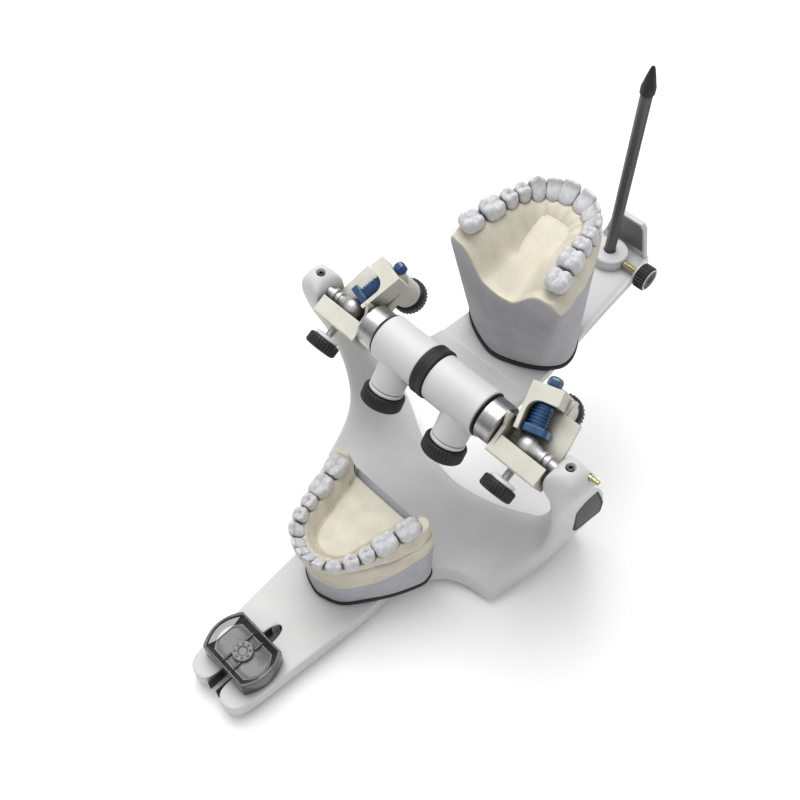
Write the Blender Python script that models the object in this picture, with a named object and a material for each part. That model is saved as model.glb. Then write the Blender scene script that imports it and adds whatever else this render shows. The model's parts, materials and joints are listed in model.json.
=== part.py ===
"""Dental articulator, with its upper member folded back through half a turn about the hinge axis.

Sizes are in millimetres in the helper calls and become metres when an object is made. X runs along the
hinge axis, -Y is the front (the incisal table), Z is up and the floor is Z = 0. Local coordinates named
(x, y, z) are measured from the middle of the hinge axis unless a comment says otherwise.
"""

import math

import bmesh
import bpy
from mathutils import Matrix, Vector

MM = 0.001
GAP = 0.3  # between pieces that touch

# the hinge axis and the two balls on it
HINGE = Vector((0.0, 2.7, 122.0))
BALL_X = 55.0
BALL_R = 5.0
HEAD_FACE_X = 69.5
PIN_R = 2.3
COLLAR_R = 3.7

# lower frame
SOLE_Z = 4.0
DECK_Z = 14.0
SLOT_HALF = 3.5
SLOT_END_Y = -106.0
FRONT_Y = -152.4

# incisal guidance
TABLE_Y = -129.8
TABLE_HALF_X = 18.6
TABLE_HALF_Y = 12.4
TABLE_TOP = 25.2
PIN_Y = 130.3
PIN_ROD_R = 2.9
PIN_TOP = 218.0
PIN_CONE = 14.0
PIN_FOOT = 90.0

# upper frame, upside down behind the hinge
PLATE_TOP = 100.0
PLATE_THICK = 5.0
PLATE_END_Y = 146.5
TUBE_R = 11.6
TUBE_HALF = 31.0
STUB_R = 10.4
STUB_END = 41.4
RING_R = 12.7
RING_HALF = 3.4
RING_X = -1.6
NECK_HALF = 28.0
KNOB_BOSS_R = 8.5
BOSS_R = 9.5
BOSS_TOP = 106.7
KNOB_TILT = math.radians(58)  # the tube's knobs point this far below the horizontal, to the front
TUBE_KNOB_X = 20.0
TUBE_KNOB_R = 10.5

# condylar housings
INCLINATION = math.radians(30)
BENNETT = math.radians(15)
HOUSING_IN = 42.4
HOUSING_OUT = 69.1
FLOOR_TOP = -5.7
FLOOR_LOW = -11.7
FRONT_PLATE = (-12.4, 4.8)  # its front face and its top
BLOCK_HALF = 7.5
BLOCK_END = 27.0
BLOCK_TOP = 7.2
POCKET_END = 19.6
WALL_PROFILE = [(-9.2, 4.8), (0.9, 6.6), (4.0, 10.0), (6.0, 13.4), (7.0, 13.4), (7.2, 6.0)]
SLEEVE_R = 4.8
SLEEVE_END = 19.4
TRAVEL = 3.0  # of the blue insert
BACK_KNOB = (50.0, 21.9)

# casts
LOWER_CAST_Y = -59.0  # of the mounting plates' middles
UPPER_CAST_Y = 70.0
CAST_MIDDLE = {"lower": -58.0, "upper": 66.0}
# right half of each outline, from the front tooth's side to the middle of the rear
FEET = {
    "lower": [(0, -82.3), (6, -81), (11, -79), (15.1, -75.7), (21, -67.4), (28.2, -56.3), (34, -43), (34.5, -38),
              (33, -33.6), (29, -31.6), (0, -31.6)],
    "upper": [(0, 91.5), (8, 90.4), (15.5, 85.6), (22.2, 77.7), (26.8, 71.2), (29.6, 63.5), (28.8, 56.5),
              (22.6, 49.3), (12, 43.3), (0, 40)],
}
RIMS = {
    "lower": [(0, -87), (6, -86.2), (12, -83), (17.2, -77.2), (22.4, -68.6), (27.6, -57.2), (30.8, -47), (32, -40),
              (31.4, -35), (28, -32.4), (24.4, -33.6), (21.4, -36.4), (0, -36.8)],
    "upper": [(0, 93.5), (8, 92.6), (15, 88.8), (20.8, 82.5), (26, 73), (30.2, 61.5), (32.6, 50), (33, 45),
              (31.4, 41), (27, 39.2), (19, 38.8), (0, 38.8)],
}
TONGUE = [(0, -77), (6, -75.4), (11, -70), (14.2, -62), (16.4, -50), (18.4, -30), (0, -30)]
PALATE = [(0, 83), (7, 80.6), (12.6, 74.5), (15.6, 66), (17.2, 56), (18.6, 36), (0, 36)]
# x, y and half width along the tooth rows
ROWS = {
    "lower": [(0, -84.6, 3.2), (6.9, -83, 3.3), (12.9, -79.2, 3.8), (17.8, -72.8, 4.1), (20.1, -65.1, 4.4),
              (22.2, -55.3, 5.2), (24.9, -42.5, 5.4), (26.1, -36.4, 4.8)],
    "upper": [(0, 88.8, 3.6), (4.3, 88.6, 3.7), (10.4, 85.9, 3.7), (15.6, 80.8, 4.2), (19.3, 74.3, 4.6),
              (21, 67.1, 4.8), (22.8, 57.9, 5.8), (25.1, 47.1, 5.6), (26, 42, 5.0)],
}
# plate, stone, height and slope of the stone's top at the middle, gums' top, teeth's tips
LEVELS = {"lower": (14.3, 17.0, 38.0, 0.2, 58.2, 66.4), "upper": (100.3, 102.7, 143.4, 0.0, 165.4, 175.8)}
# height at the middle and slope of the floor between the rows
FLOORS = {"lower": (52.4, 0.05), "upper": (152.4, 0.28)}

COLOURS = {
    "white_paint": ((0.80, 0.81, 0.80), 0.35, 0.0),
    "rubber": ((0.03, 0.03, 0.03), 0.8, 0.0),
    "pad_rubber": ((0.07, 0.07, 0.07), 0.7, 0.0),
    "black_plastic": ((0.02, 0.02, 0.02), 0.5, 0.0),
    "white_plastic": ((0.80, 0.80, 0.80), 0.4, 0.0),
    "cream_plastic": ((0.76, 0.74, 0.62), 0.5, 0.0),
    "blue_plastic": ((0.02, 0.13, 0.35), 0.35, 0.0),
    "steel": ((0.62, 0.62, 0.65), 0.25, 1.0),
    "dark_steel": ((0.10, 0.10, 0.11), 0.35, 0.9),
    "brass": ((0.60, 0.50, 0.25), 0.3, 1.0),
    "smoked_plastic": ((0.30, 0.32, 0.33), 0.2, 0.0),
    "grey_stone": ((0.50, 0.50, 0.52), 0.8, 0.0),
    "cream_plaster": ((0.78, 0.72, 0.58), 0.8, 0.0),
    "tooth_stone": ((0.70, 0.70, 0.72), 0.6, 0.0),
}


# ---------------------------------------------------------------- making objects


def material(name):
    found = bpy.data.materials.get(name)
    if found:
        return found
    made = bpy.data.materials.new(name)
    made.use_nodes = True
    colour, roughness, metallic = COLOURS[name]
    shader = made.node_tree.nodes["Principled BSDF"]
    shader.inputs["Base Color"].default_value = (*colour, 1.0)
    shader.inputs["Roughness"].default_value = roughness
    shader.inputs["Metallic"].default_value = metallic
    return made


def make(name, bm, finish, origin=(0, 0, 0), sharp=35):
    """An object from a mesh in millimetres, with its own origin, its faces turned outwards."""
    bmesh.ops.recalc_face_normals(bm, faces=bm.faces)
    bm.transform(Matrix.Scale(MM, 4) @ Matrix.Translation(-Vector(origin)))
    mesh = bpy.data.meshes.new(name)
    bm.to_mesh(mesh)
    bm.free()
    mesh.shade_smooth()
    mesh.set_sharp_from_angle(angle=math.radians(sharp))
    mesh.materials.append(material(finish))
    made = bpy.data.objects.new(name, mesh)
    made.location = Vector(origin) * MM
    bpy.context.scene.collection.objects.link(made)
    return made


def cutter(name, bm, origin=(0, 0, 0)):
    made = make(name, bm, "rubber", origin)
    made.hide_render = True
    made.display_type = "WIRE"
    return made


def combine(target, tool, operation):
    """A Boolean that stays on the target; the tool is a guide."""
    step = target.modifiers.new(operation.lower(), "BOOLEAN")
    step.operation = operation
    step.object = tool
    step.solver = "EXACT"


# ---------------------------------------------------------------- shapes


def ring_of(bm, points):
    return [bm.verts.new(p) for p in points]


def bridge(bm, low, high):
    count = len(low)
    for i in range(count):
        j = (i + 1) % count
        bm.faces.new((low[i], low[j], high[j], high[i]))


def loft(loops, frame=Matrix.Identity(4), into=None):
    """A closed solid through loops of equally many points, with a flat cap at each end."""
    bm = into or bmesh.new()
    rings = [ring_of(bm, [frame @ Vector(p) for p in loop]) for loop in loops]
    for low, high in zip(rings, rings[1:]):
        bridge(bm, low, high)
    bm.faces.new(rings[0])
    bm.faces.new(rings[-1])
    return bm


def prism(outline, low, high, frame=Matrix.Identity(4), into=None):
    """A flat outline in the local XY plane, extruded from low to high along local Z."""
    return loft([[(x, y, z) for x, y in outline] for z in (low, high)], frame, into)


def block(low, high, frame=Matrix.Identity(4), into=None):
    outline = [(low[0], low[1]), (high[0], low[1]), (high[0], high[1]), (low[0], high[1])]
    return prism(outline, low[2], high[2], frame, into)


def circle(radius, count, centre=(0, 0), start=0.0):
    steps = [start + 2 * math.pi * i / count for i in range(count)]
    return [(centre[0] + radius * math.cos(a), centre[1] + radius * math.sin(a)) for a in steps]


def arc(radius, first, last, count, centre=(0, 0)):
    steps = [math.radians(first + (last - first) * i / (count - 1)) for i in range(count)]
    return [(centre[0] + radius * math.cos(a), centre[1] + radius * math.sin(a)) for a in steps]


def turned(profile, frame=Matrix.Identity(4), count=24, into=None):
    """A solid of revolution about local Z through (radius, height) points that start and end on the axis."""
    inner = [p for p in profile if p[0] > 0]
    loops = [[(x, y, z) for x, y in circle(r, count)] for r, z in inner]
    return loft(loops, frame, into)


def tube(profile, frame=Matrix.Identity(4), count=24, into=None):
    """A ring: the closed (radius, height) profile turned about local Z."""
    bm = into or bmesh.new()
    rings = [ring_of(bm, [frame @ Vector((x, y, z)) for x, y in circle(r, count)]) for r, z in profile]
    for low, high in zip(rings, rings[1:] + rings[:1]):
        bridge(bm, low, high)
    return bm


def knurled(radius, low, high, teeth, frame, chamfer=0.5, depth=0.4):
    """A knob with a toothed rim and a chamfer at both ends, along local Z."""
    def rim(r, z, notch):
        points = []
        for i in range(2 * teeth):
            a = math.pi * i / teeth
            rr = r - (notch if i % 2 else 0.0)
            points.append((rr * math.cos(a), rr * math.sin(a), z))
        return points

    loops = [
        rim(radius - chamfer - depth, low, 0.0),
        rim(radius, low + chamfer, depth),
        rim(radius, high - chamfer, depth),
        rim(radius - chamfer - depth, high, 0.0),
    ]
    return loft(loops, frame)


def pointing(direction, origin):
    """A frame whose local Z points along direction, from origin."""
    turn = Vector(direction).to_track_quat("Z", "Y").to_matrix().to_4x4()
    return Matrix.Translation(Vector(origin)) @ turn


def side_name(side):
    return "right" if side > 0 else "left"


def hinge_frame(side):
    """Hinge coordinates, mirrored for the left side."""
    return Matrix.Translation(HINGE) @ Matrix.Scale(side, 4, (1, 0, 0))


def housing_frame(side):
    """Local X outwards on the hinge axis, Y back along the inclined floor, Z away from the floor."""
    return hinge_frame(side) @ Matrix.Rotation(INCLINATION, 4, "X")


def bennett_frame(side):
    """The housing's frame turned inwards about the ball; its origin is the ball's centre."""
    return housing_frame(side) @ Matrix.Translation((BALL_X, 0, 0)) @ Matrix.Rotation(BENNETT, 4, "Z")


def along(frame, axis, centre=(0, 0, 0)):
    """A frame with local Z along an axis given in another frame, from a centre given in it."""
    origin = frame @ Vector(centre)
    direction = (frame @ (Vector(centre) + Vector(axis))) - origin
    return pointing(direction, origin)


# ---------------------------------------------------------------- lower member

# cross-sections of the right half, from the middle to the top of the head, each as four corners:
# front low (outer front), front high (inner front), back high (inner back), back low (outer back)
FRAME_SECTIONS = [
    ((3.5, -48, 4), (3.5, -48, 14), (3.5, 10, 14), (3.5, 20, 4)),
    ((24, -50, 4), (23, -49, 14), (20, 12, 13.5), (21, 23, 4)),
    ((36, -23, 4), (35, -21, 14), (37, 19, 14), (39, 31, 4)),
    ((62, -20, 4), (61, -18, 11), (50, 21.5, 29), (56, 42, 4)),
    ((68, 8, 4.5), (68, 4, 26), (58, 23, 45), (68, 46, 4.5)),
    ((75.5, 12, 42), (71, 6, 52), (61.5, 19, 60), (77.5, 48, 38)),
    ((77.5, 6, 76), (73, 0, 82), (66.5, 10, 84), (79, 34, 78)),
    ((81, -5, 100), (71, -5, 104), (69, 9, 107), (82, 13, 102)),
    ((88, -8, 118), (69.5, -9.5, 119), (69.5, 9.5, 120), (88, 9.5, 118)),
    ((83.5, -7, 131), (72, -8, 131), (72, 8, 131), (83.5, 7, 131)),
]
# the arm: distance to the front and half width
ARM_STATIONS = [(-64, 25.5), (-84, 24.2), (SLOT_END_Y, 22.2), (-124, 20.6), (-140, 19.4), (FRONT_Y, 17.5)]
FRAME_CREASES = (0.75, 0.7, 0.25, 0.6)  # along the four corner lines of the base
HORN_CREASES = (0.3, 0.15, 0.3, 0.85)  # and of the horns
CORNER = 3  # the section at the base's sharp outer corner
HEAD_FIRST = 7  # the sections from here on keep a flat inner face


def crease_line(bm, layer, verts, value):
    for a, b in zip(verts, verts[1:]):
        edge = bm.edges.get((a, b))
        if edge:
            edge[layer] = value


def frame_cage():
    """The control mesh of the lower frame: a band from head to head, and a forked arm to the front."""
    bm = bmesh.new()
    crease = bm.edges.layers.float.new("crease_edge")
    sections = [[(-x, y, z) for x, y, z in s] for s in reversed(FRAME_SECTIONS)] + FRAME_SECTIONS
    rings = [ring_of(bm, s) for s in sections]
    middle = len(FRAME_SECTIONS)
    left_root, right_root = middle - 2, middle + 1
    for i, (low, high) in enumerate(zip(rings, rings[1:])):
        for k in range(4):
            front = k == 0 and left_root <= i < right_root
            if not front:
                bm.faces.new((low[k], low[(k + 1) % 4], high[(k + 1) % 4], high[k]))
    bm.faces.new(rings[0])
    bm.faces.new(rings[-1])
    for k in range(4):
        crease_line(bm, crease, [r[k] for r in rings[middle - CORNER - 1:middle + CORNER + 1]], FRAME_CREASES[k])
        for horn in (rings[:middle - CORNER], rings[middle + CORNER:]):
            crease_line(bm, crease, [r[k] for r in horn], HORN_CREASES[k])
    for head in (rings[:middle - HEAD_FIRST], rings[middle + HEAD_FIRST:]):
        for k in (1, 2):
            crease_line(bm, crease, [r[k] for r in head], 0.5)
    for n in (middle - CORNER - 1, middle + CORNER):
        crease_line(bm, crease, rings[n][:2], 0.95)
        outer = n + 1 if n > middle else n - 1
        crease_line(bm, crease, [rings[n][0], rings[outer][0], rings[outer][3], rings[n][3]], 0.9)
    arm_columns(bm, crease, rings[left_root:right_root + 1])
    return bm


def arm_columns(bm, crease, root):
    """Extends the arm forwards from the band's four root corners, leaving the slot open."""
    rows = [([r[0] for r in root], [r[1] for r in root])]
    for y, half in ARM_STATIONS:
        xs = (-half, -SLOT_HALF, SLOT_HALF, half)
        rows.append((ring_of(bm, [(x, y, SOLE_Z) for x in xs]), ring_of(bm, [(x, y, DECK_Z) for x in xs])))
    for n, ((low_a, high_a), (low_b, high_b)) in enumerate(zip(rows, rows[1:])):
        slotted = n >= 3
        for c in range(3):
            if slotted and c == 1:
                continue
            bm.faces.new((high_a[c], high_a[c + 1], high_b[c + 1], high_b[c]))
            bm.faces.new((low_a[c], low_b[c], low_b[c + 1], low_a[c + 1]))
        for c in (0, 3) if not slotted else (0, 1, 2, 3):
            bm.faces.new((low_a[c], high_a[c], high_b[c], low_b[c]))
        if n == 2:
            bm.faces.new((low_b[1], high_b[1], high_b[2], low_b[2]))
    low, high = rows[-1]
    for c in (0, 2):
        bm.faces.new((low[c], high[c], high[c + 1], low[c + 1]))
    for level in (0, 1):
        for c in (0, 3):
            crease_line(bm, crease, [row[level][c] for row in rows], 0.75)
        for c in (1, 2):
            crease_line(bm, crease, [row[level][c] for row in rows[3:]], 0.8)
        crease_line(bm, crease, [rows[3][level][1], rows[3][level][2]], 0.8)
        for c in (0, 2):
            crease_line(bm, crease, [rows[-1][level][c], rows[-1][level][c + 1]], 0.75)


def horizontal(bm, frame_y):
    bmesh.ops.translate(bm, vec=(0, frame_y, 0), verts=bm.verts)
    return bm


SET_SCREW = (77.0, 0.5, 1.9)
AXIS_PIN = ((1, 0, 0.05), (82.6, 5.0, 3.0))
PAD_CORNERS = [(-6.0, -15.5), (14.5, -19.5), (13.5, -7.8), (0.0, 21.0), (-8.0, 21.0), (-12.5, 14.0)]
PAD_CENTRE = (76.6, 28.0, 59.0)  # in hinge X, Y and height above the floor
PAD_NORMAL = (0.998, -0.05, -0.04)


def pad_frame(side):
    z = Vector(PAD_NORMAL).normalized()
    x = Vector((0, 0, 1)).cross(z).normalized()
    turn = Matrix((x, z.cross(x), z)).transposed().to_4x4()
    centre = Vector(PAD_CENTRE) + Vector((0, HINGE.y, 0))
    return Matrix.Scale(side, 4, (1, 0, 0)) @ Matrix.Translation(centre) @ turn


def pad_outline(grow):
    middle = Vector((0, 0))
    corners = [Vector(c) for c in PAD_CORNERS]
    return [tuple(c + (c - middle).normalized() * grow) for c in corners]


def lower_member():
    frame = make("lower_frame", horizontal(frame_cage(), HINGE.y), "white_paint", sharp=60)
    smooth = frame.modifiers.new("smooth", "SUBSURF")
    smooth.levels = 2
    smooth.render_levels = 2
    tools = bmesh.new()
    screw_tools = bmesh.new()
    for side in (-1, 1):
        hinge = hinge_frame(side)
        turned([(PIN_R + GAP, HEAD_FACE_X - 2), (PIN_R + GAP, 77)], along(hinge, (1, 0, 0)), 16, tools)
        turned([(1.9, 0), (1.9, 12)], along(hinge, (0, 0, 1), SET_SCREW), 12, screw_tools)
        prism(pad_outline(0.35), -2.6, 14, pad_frame(side), tools)
    turned([(1.5, 0), (1.5, 12)], along(hinge_frame(1), *AXIS_PIN), 12, tools)
    turned([(8.4, 9.6), (8.4, 20)], Matrix.Translation((0, LOWER_CAST_Y + HINGE.y, 0)), 24, tools)
    combine(frame, cutter("lower_cuts", tools), "DIFFERENCE")
    combine(frame, cutter("screw_cuts", screw_tools), "DIFFERENCE")
    for side in (-1, 1):
        word = side_name(side)
        hinge = hinge_frame(side)
        feet = {"front": (side * 12.0, -140.0), "rear": (side * 56.0, 22.0)}
        for place, (x, y) in feet.items():
            spot = Matrix.Translation((x, y + HINGE.y, 0))
            pad = turned([(4.6, 0), (5.2, 0.6), (5.2, SOLE_Z - GAP)], spot, 20)
            make(f"foot_{place}_{word}", pad, "rubber")
        make(f"rest_pad_{word}", prism(pad_outline(0.0), -2.2, 1.0, pad_frame(side)), "pad_rubber")
        make(f"condyle_pin_{word}", condyle_pin(hinge), "steel", HINGE)
        screw = turned([(1.6, 0.6), (1.6, 5.4)], along(hinge, (0, 0, 1), SET_SCREW), 12)
        make(f"pin_set_screw_{word}", screw, "dark_steel")
    make("axis_pin", turned([(1.2, 0.6), (1.2, 6.4), (0.8, 6.8)], along(hinge_frame(1), *AXIS_PIN), 12), "brass")
    spot = Matrix.Translation((0, LOWER_CAST_Y + HINGE.y, 0))
    make("lower_magnet", turned([(8.0, 9.9), (8.0, 13.9)], spot), "steel")


def condyle_pin(hinge):
    """A ball on a stepped shank that sits in the head."""
    profile = arc(BALL_R, -80, 60, 8, (0, BALL_X))
    profile += [(PIN_R, 60.0), (PIN_R, 64.0), (COLLAR_R, 64.3), (COLLAR_R, 66.6), (PIN_R, 67.0), (PIN_R, 76.5)]
    return turned(profile, along(hinge, (1, 0, 0)), 20)


def incisal_table():
    spot = Matrix.Translation((0, TABLE_Y + HINGE.y, 0))
    bulge = 4.2
    sides = []
    for sign in (1, -1):
        for i in range(7):
            t = -1 + 2 * i / 6
            x = sign * (TABLE_HALF_X - bulge * t * t)
            sides.append((x, sign * t * TABLE_HALF_Y))
    table = make("incisal_table", prism(sides, DECK_Z + GAP, TABLE_TOP, spot), "smoked_plastic",
                 (0, TABLE_Y + HINGE.y, DECK_Z))
    bowl_turn = Matrix.Translation((0, TABLE_Y + HINGE.y, TABLE_TOP + 9.0)) @ Matrix.Rotation(math.pi / 2, 4, "X")
    bowl = prism([(x, y) for x, y in circle(14.0, 28)], -20, 20, bowl_turn)
    turned([(3.2, -1), (3.2, 20.3), (5.8, 20.3), (5.8, 30)], spot, 20, bowl)
    combine(table, cutter("table_bowl", bowl), "DIFFERENCE")
    bolt = [(6.0, 1.0), (6.0, SOLE_Z - 0.4), (2.6, SOLE_Z - 0.4), (2.6, 19.6)]
    make("table_clamp_bolt", turned(bolt, spot, 20), "steel", (0, TABLE_Y + HINGE.y, DECK_Z))
    nut = knurled(5.2, 20.6, 22.6, 16, spot, 0.4, 0.3)
    make("table_clamp_nut", nut, "smoked_plastic", (0, TABLE_Y + HINGE.y, DECK_Z))


# ---------------------------------------------------------------- upper member


def plate_outline():
    """Plan of the plate: a waist behind the tube, then an even taper to a rounded end."""
    right = [(30.5, 8.0), (29.2, 18.0), (27.9, 27.0), (27.2, 36.0), (26.7, 50.0), (20.9, 100.0),
             (18.3, 126.0), (16.6, 140.0), (14.6, 144.8), (11.5, PLATE_END_Y)]
    return right + [(-x, y) for x, y in reversed(right)]


def neck_outline():
    """Section through the piece that carries the tube, in hinge Y and height above the floor."""
    return [(34.0, PLATE_TOP - PLATE_THICK), (34.0, PLATE_TOP), (25.0, 103.2), (17.0, 109.5), (9.0, 118.0),
            (-6.0, 118.0), (-7.5, 110.0), (-1.0, 101.0), (8.0, PLATE_TOP - PLATE_THICK)]


def upper_frame():
    rest = Matrix.Translation((0, HINGE.y, 0))
    frame = make("upper_frame", prism(plate_outline(), PLATE_TOP - PLATE_THICK, PLATE_TOP, rest),
                 "white_paint", HINGE)
    turn = Matrix.Translation((0, HINGE.y, 0)) @ Matrix(((0, 0, 1, 0), (1, 0, 0, 0), (0, 1, 0, 0), (0, 0, 0, 1)))
    parts = {"neck": prism(neck_outline(), -NECK_HALF, NECK_HALF, turn)}
    parts["tube"] = turned([(TUBE_R, -TUBE_HALF), (TUBE_R, TUBE_HALF)], along(hinge_frame(1), (1, 0, 0)), 40)
    pin_spot = Matrix.Translation((0, PIN_Y + HINGE.y, 0))
    parts["boss"] = turned([(BOSS_R, PLATE_TOP - 2), (BOSS_R, BOSS_TOP)], pin_spot, 32)
    fin = [(-14.2, 98.5), (14.2, 98.5), (7.6, 119.8), (-7.6, 119.8)]
    stand = Matrix.Translation((0, PLATE_END_Y + HINGE.y, 0)) @ Matrix.Rotation(math.pi / 2, 4, "X")
    parts["fin"] = prism(fin, 0.2, 3.2, stand)
    for name, bm in parts.items():
        combine(frame, cutter(f"upper_{name}", bm), "UNION")
    for side in (-1, 1):
        boss = turned([(KNOB_BOSS_R, 4.0), (KNOB_BOSS_R, 21.4)], tube_knob_frame(side), 24)
        combine(frame, cutter(f"upper_knob_boss_{side_name(side)}", boss), "UNION")
    cuts = turned([(PIN_ROD_R + GAP, 80), (PIN_ROD_R + GAP, 120)], pin_spot, 24)
    turned([(1.9, 0), (1.9, 14)], pointing((1, 0, 0), (0, PIN_Y + HINGE.y, 103.4)), 12, cuts)
    near, far = RING_X - RING_HALF - GAP, RING_X + RING_HALF + GAP
    groove = [(TUBE_R - 1.2, near), (RING_R + GAP, near), (RING_R + GAP, far), (TUBE_R - 1.2, far)]
    tube(groove, along(hinge_frame(1), (1, 0, 0)), 40, cuts)
    turned([(8.4, 90), (8.4, 96.4)], Matrix.Translation((0, UPPER_CAST_Y + HINGE.y, 0)), 24, cuts)
    for side in (-1, 1):
        turned([(8.4, TUBE_HALF - 5), (8.4, TUBE_HALF + 2)], along(hinge_frame(side), (1, 0, 0)), 24, cuts)
    combine(frame, cutter("upper_cuts", cuts), "DIFFERENCE")


def tube_knob_frame(side):
    direction = (0, -math.cos(KNOB_TILT), -math.sin(KNOB_TILT))
    return pointing(direction, HINGE + Vector((side * TUBE_KNOB_X, 0, 0)))


def upper_member():
    upper_frame()
    near, far = RING_X - RING_HALF, RING_X + RING_HALF
    ring = [(TUBE_R - 0.8, near), (RING_R, near), (RING_R, far), (TUBE_R - 0.8, far)]
    make("centre_ring", tube(ring, along(hinge_frame(1), (1, 0, 0)), 40), "rubber", HINGE)
    for side in (-1, 1):
        word = side_name(side)
        axis = along(hinge_frame(side), (1, 0, 0))
        stub = [(8.0, TUBE_HALF - 4.6), (8.0, TUBE_HALF + 1.4), (STUB_R, TUBE_HALF + 1.4), (STUB_R, STUB_END)]
        make(f"stub_shaft_{word}", turned(stub, axis, 32), "steel", HINGE)
        seal = [(8.4, TUBE_HALF + GAP), (11.6, TUBE_HALF + GAP), (11.3, TUBE_HALF + 1.1), (8.4, TUBE_HALF + 1.1)]
        make(f"tube_end_seal_{word}", tube(seal, axis, 32), "rubber", HINGE)
        spot = tube_knob_frame(side)
        make(f"tube_knob_collar_{word}", turned([(8.6, 21.7), (8.6, 23.4)], spot, 28), "white_plastic", HINGE)
        make(f"tube_knob_{word}", knurled(TUBE_KNOB_R, 23.7, 30.6, 30, spot), "black_plastic", HINGE)
    magnet = turned([(8.0, 92.0), (8.0, 96.1)], Matrix.Translation((0, UPPER_CAST_Y + HINGE.y, 0)))
    make("upper_magnet", magnet, "steel")


def incisal_pin():
    spot = Matrix.Translation((0, PIN_Y + HINGE.y, 0))
    origin = (0, PIN_Y + HINGE.y, BOSS_TOP)
    rod = [(PIN_ROD_R - 0.5, PIN_FOOT), (PIN_ROD_R, PIN_FOOT + 0.6), (PIN_ROD_R, PIN_TOP - PIN_CONE - GAP)]
    make("incisal_pin", turned(rod, spot, 20), "dark_steel", origin)
    cone = [(3.5, PIN_TOP - PIN_CONE), (3.5, PIN_TOP - 10), (1.6, PIN_TOP - 2.2), (0.6, PIN_TOP)]
    make("incisal_pin_tip", turned(cone, spot, 20), "black_plastic", origin)
    side = pointing((1, 0, 0), (0, PIN_Y + HINGE.y, 103.4))
    make("pin_lock_screw", turned([(1.6, PIN_ROD_R + 0.7), (1.6, 18.0)], side, 14), "brass", origin)
    make("pin_lock_collar", turned([(4.4, 18.3), (4.4, 19.6)], side, 24), "white_plastic", origin)
    make("pin_lock_knob", knurled(6.6, 19.9, 26.2, 22, side), "black_plastic", origin)


# ---------------------------------------------------------------- condylar housings


def housing(side):
    """The cream casting: front plate, cradle for the ball, inclined floor and the boss under its back end."""
    frame = housing_frame(side)
    origin = HINGE
    front, top = FRONT_PLATE
    cradle = [(y, z) for y, z in arc(BALL_R + 0.6, 121, 225, 8)]
    section = [(front, FLOOR_LOW), (front, top - 0.8), (front + 0.8, top), *cradle, (-2.0, FLOOR_TOP - 0.6),
               (2.0, FLOOR_TOP - 0.6), (2.0, FLOOR_LOW)]
    turn = Matrix(((0, 0, 1, 0), (1, 0, 0, 0), (0, 1, 0, 0), (0, 0, 0, 1)))
    solid = make(f"housing_{side_name(side)}", prism(section, HOUSING_IN - 0.6, HOUSING_OUT, frame @ turn),
                 "cream_plastic", origin)
    wall = [(WALL_PROFILE[0][0], FLOOR_LOW + 1), *WALL_PROFILE, (WALL_PROFILE[-1][0], FLOOR_LOW + 1)]
    floor = [(44.0, 0.0), (HOUSING_OUT, 0.0), (HOUSING_OUT, 4.0), (66.2, 20.8), (58.0, 20.8), (58.0, 27.4),
             (43.0, 24.4), (43.0, 12.0)]
    rear = [(43.0, 8.0), (60.0, 8.0), (58.0, 28.2), (42.6, 24.6)]
    parts = {
        "wall": prism(wall, HOUSING_IN - 0.3, HOUSING_IN + 1.5, frame @ turn),
        "floor": prism(floor, FLOOR_TOP - 2.6, FLOOR_TOP, frame),
        "rear": prism(rear, FLOOR_LOW, FLOOR_TOP - 1.0, frame),
        "boss": turned([(7.2, -22.6), (7.2, FLOOR_TOP - 3)], frame @ Matrix.Translation((*BACK_KNOB, 0)), 24),
    }
    for name, bm in parts.items():
        combine(solid, cutter(f"housing_{name}_{side_name(side)}", bm), "UNION")
    bore = turned([(2.4, 0.5), (2.4, 16)], along(frame, (0, -1, 0), (BALL_X + 1, -4.0, 0)), 16)
    combine(solid, cutter(f"housing_bore_{side_name(side)}", bore), "DIFFERENCE")


def bennett_block(side):
    """The C-shaped guide that turns on the floor, open at its outer side."""
    frame = bennett_frame(side)
    h = BLOCK_HALF
    pocket = [(x, y) for x, y in arc(5.2, 90, 180, 6, (-0.2, POCKET_END - 5.2))]
    outline = [(-h, 5.0), (-h, BLOCK_END), (h, BLOCK_END), (h, POCKET_END), *pocket, (-5.4, 5.0)]
    solid = make(f"bennett_block_{side_name(side)}", prism(outline, FLOOR_TOP + GAP, BLOCK_TOP, frame),
                 "cream_plastic", HINGE)
    recess = SLEEVE_END + TRAVEL + 0.6
    steps = [(SLEEVE_R + GAP, POCKET_END - 4), (SLEEVE_R + GAP, recess), (2.4, recess), (2.4, BLOCK_END + 4)]
    bore = turned(steps, along(frame, (0, 1, 0)), 24)
    combine(solid, cutter(f"block_bore_{side_name(side)}", bore), "DIFFERENCE")


def protrusion_insert(side):
    """The blue stop that bears on the ball, and the key that drives it."""
    frame = bennett_frame(side)
    word = side_name(side)
    axis = along(frame, (0, 1, 0))
    sleeve = [(SLEEVE_R, 7.0), (SLEEVE_R, SLEEVE_END), (2.6, SLEEVE_END), (2.6, 9.4)]
    solid = make(f"protrusion_insert_{word}", turned(sleeve, axis, 24), "blue_plastic", HINGE)
    flange = block((-5.2, 5.5, -5.0), (6.9, 9.0, 5.8), frame)
    combine(solid, cutter(f"insert_flange_{word}", flange), "UNION")
    key = turned([(2.0, 13.0), (2.0, BLOCK_END + GAP + 0.2)], axis, 16)
    solid = make(f"protrusion_key_{word}", key, "blue_plastic", HINGE)
    head = prism(circle(3.6, 6), BLOCK_END + GAP, BLOCK_END + 5.4, axis)
    combine(solid, cutter(f"key_head_{word}", head), "UNION")


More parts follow.
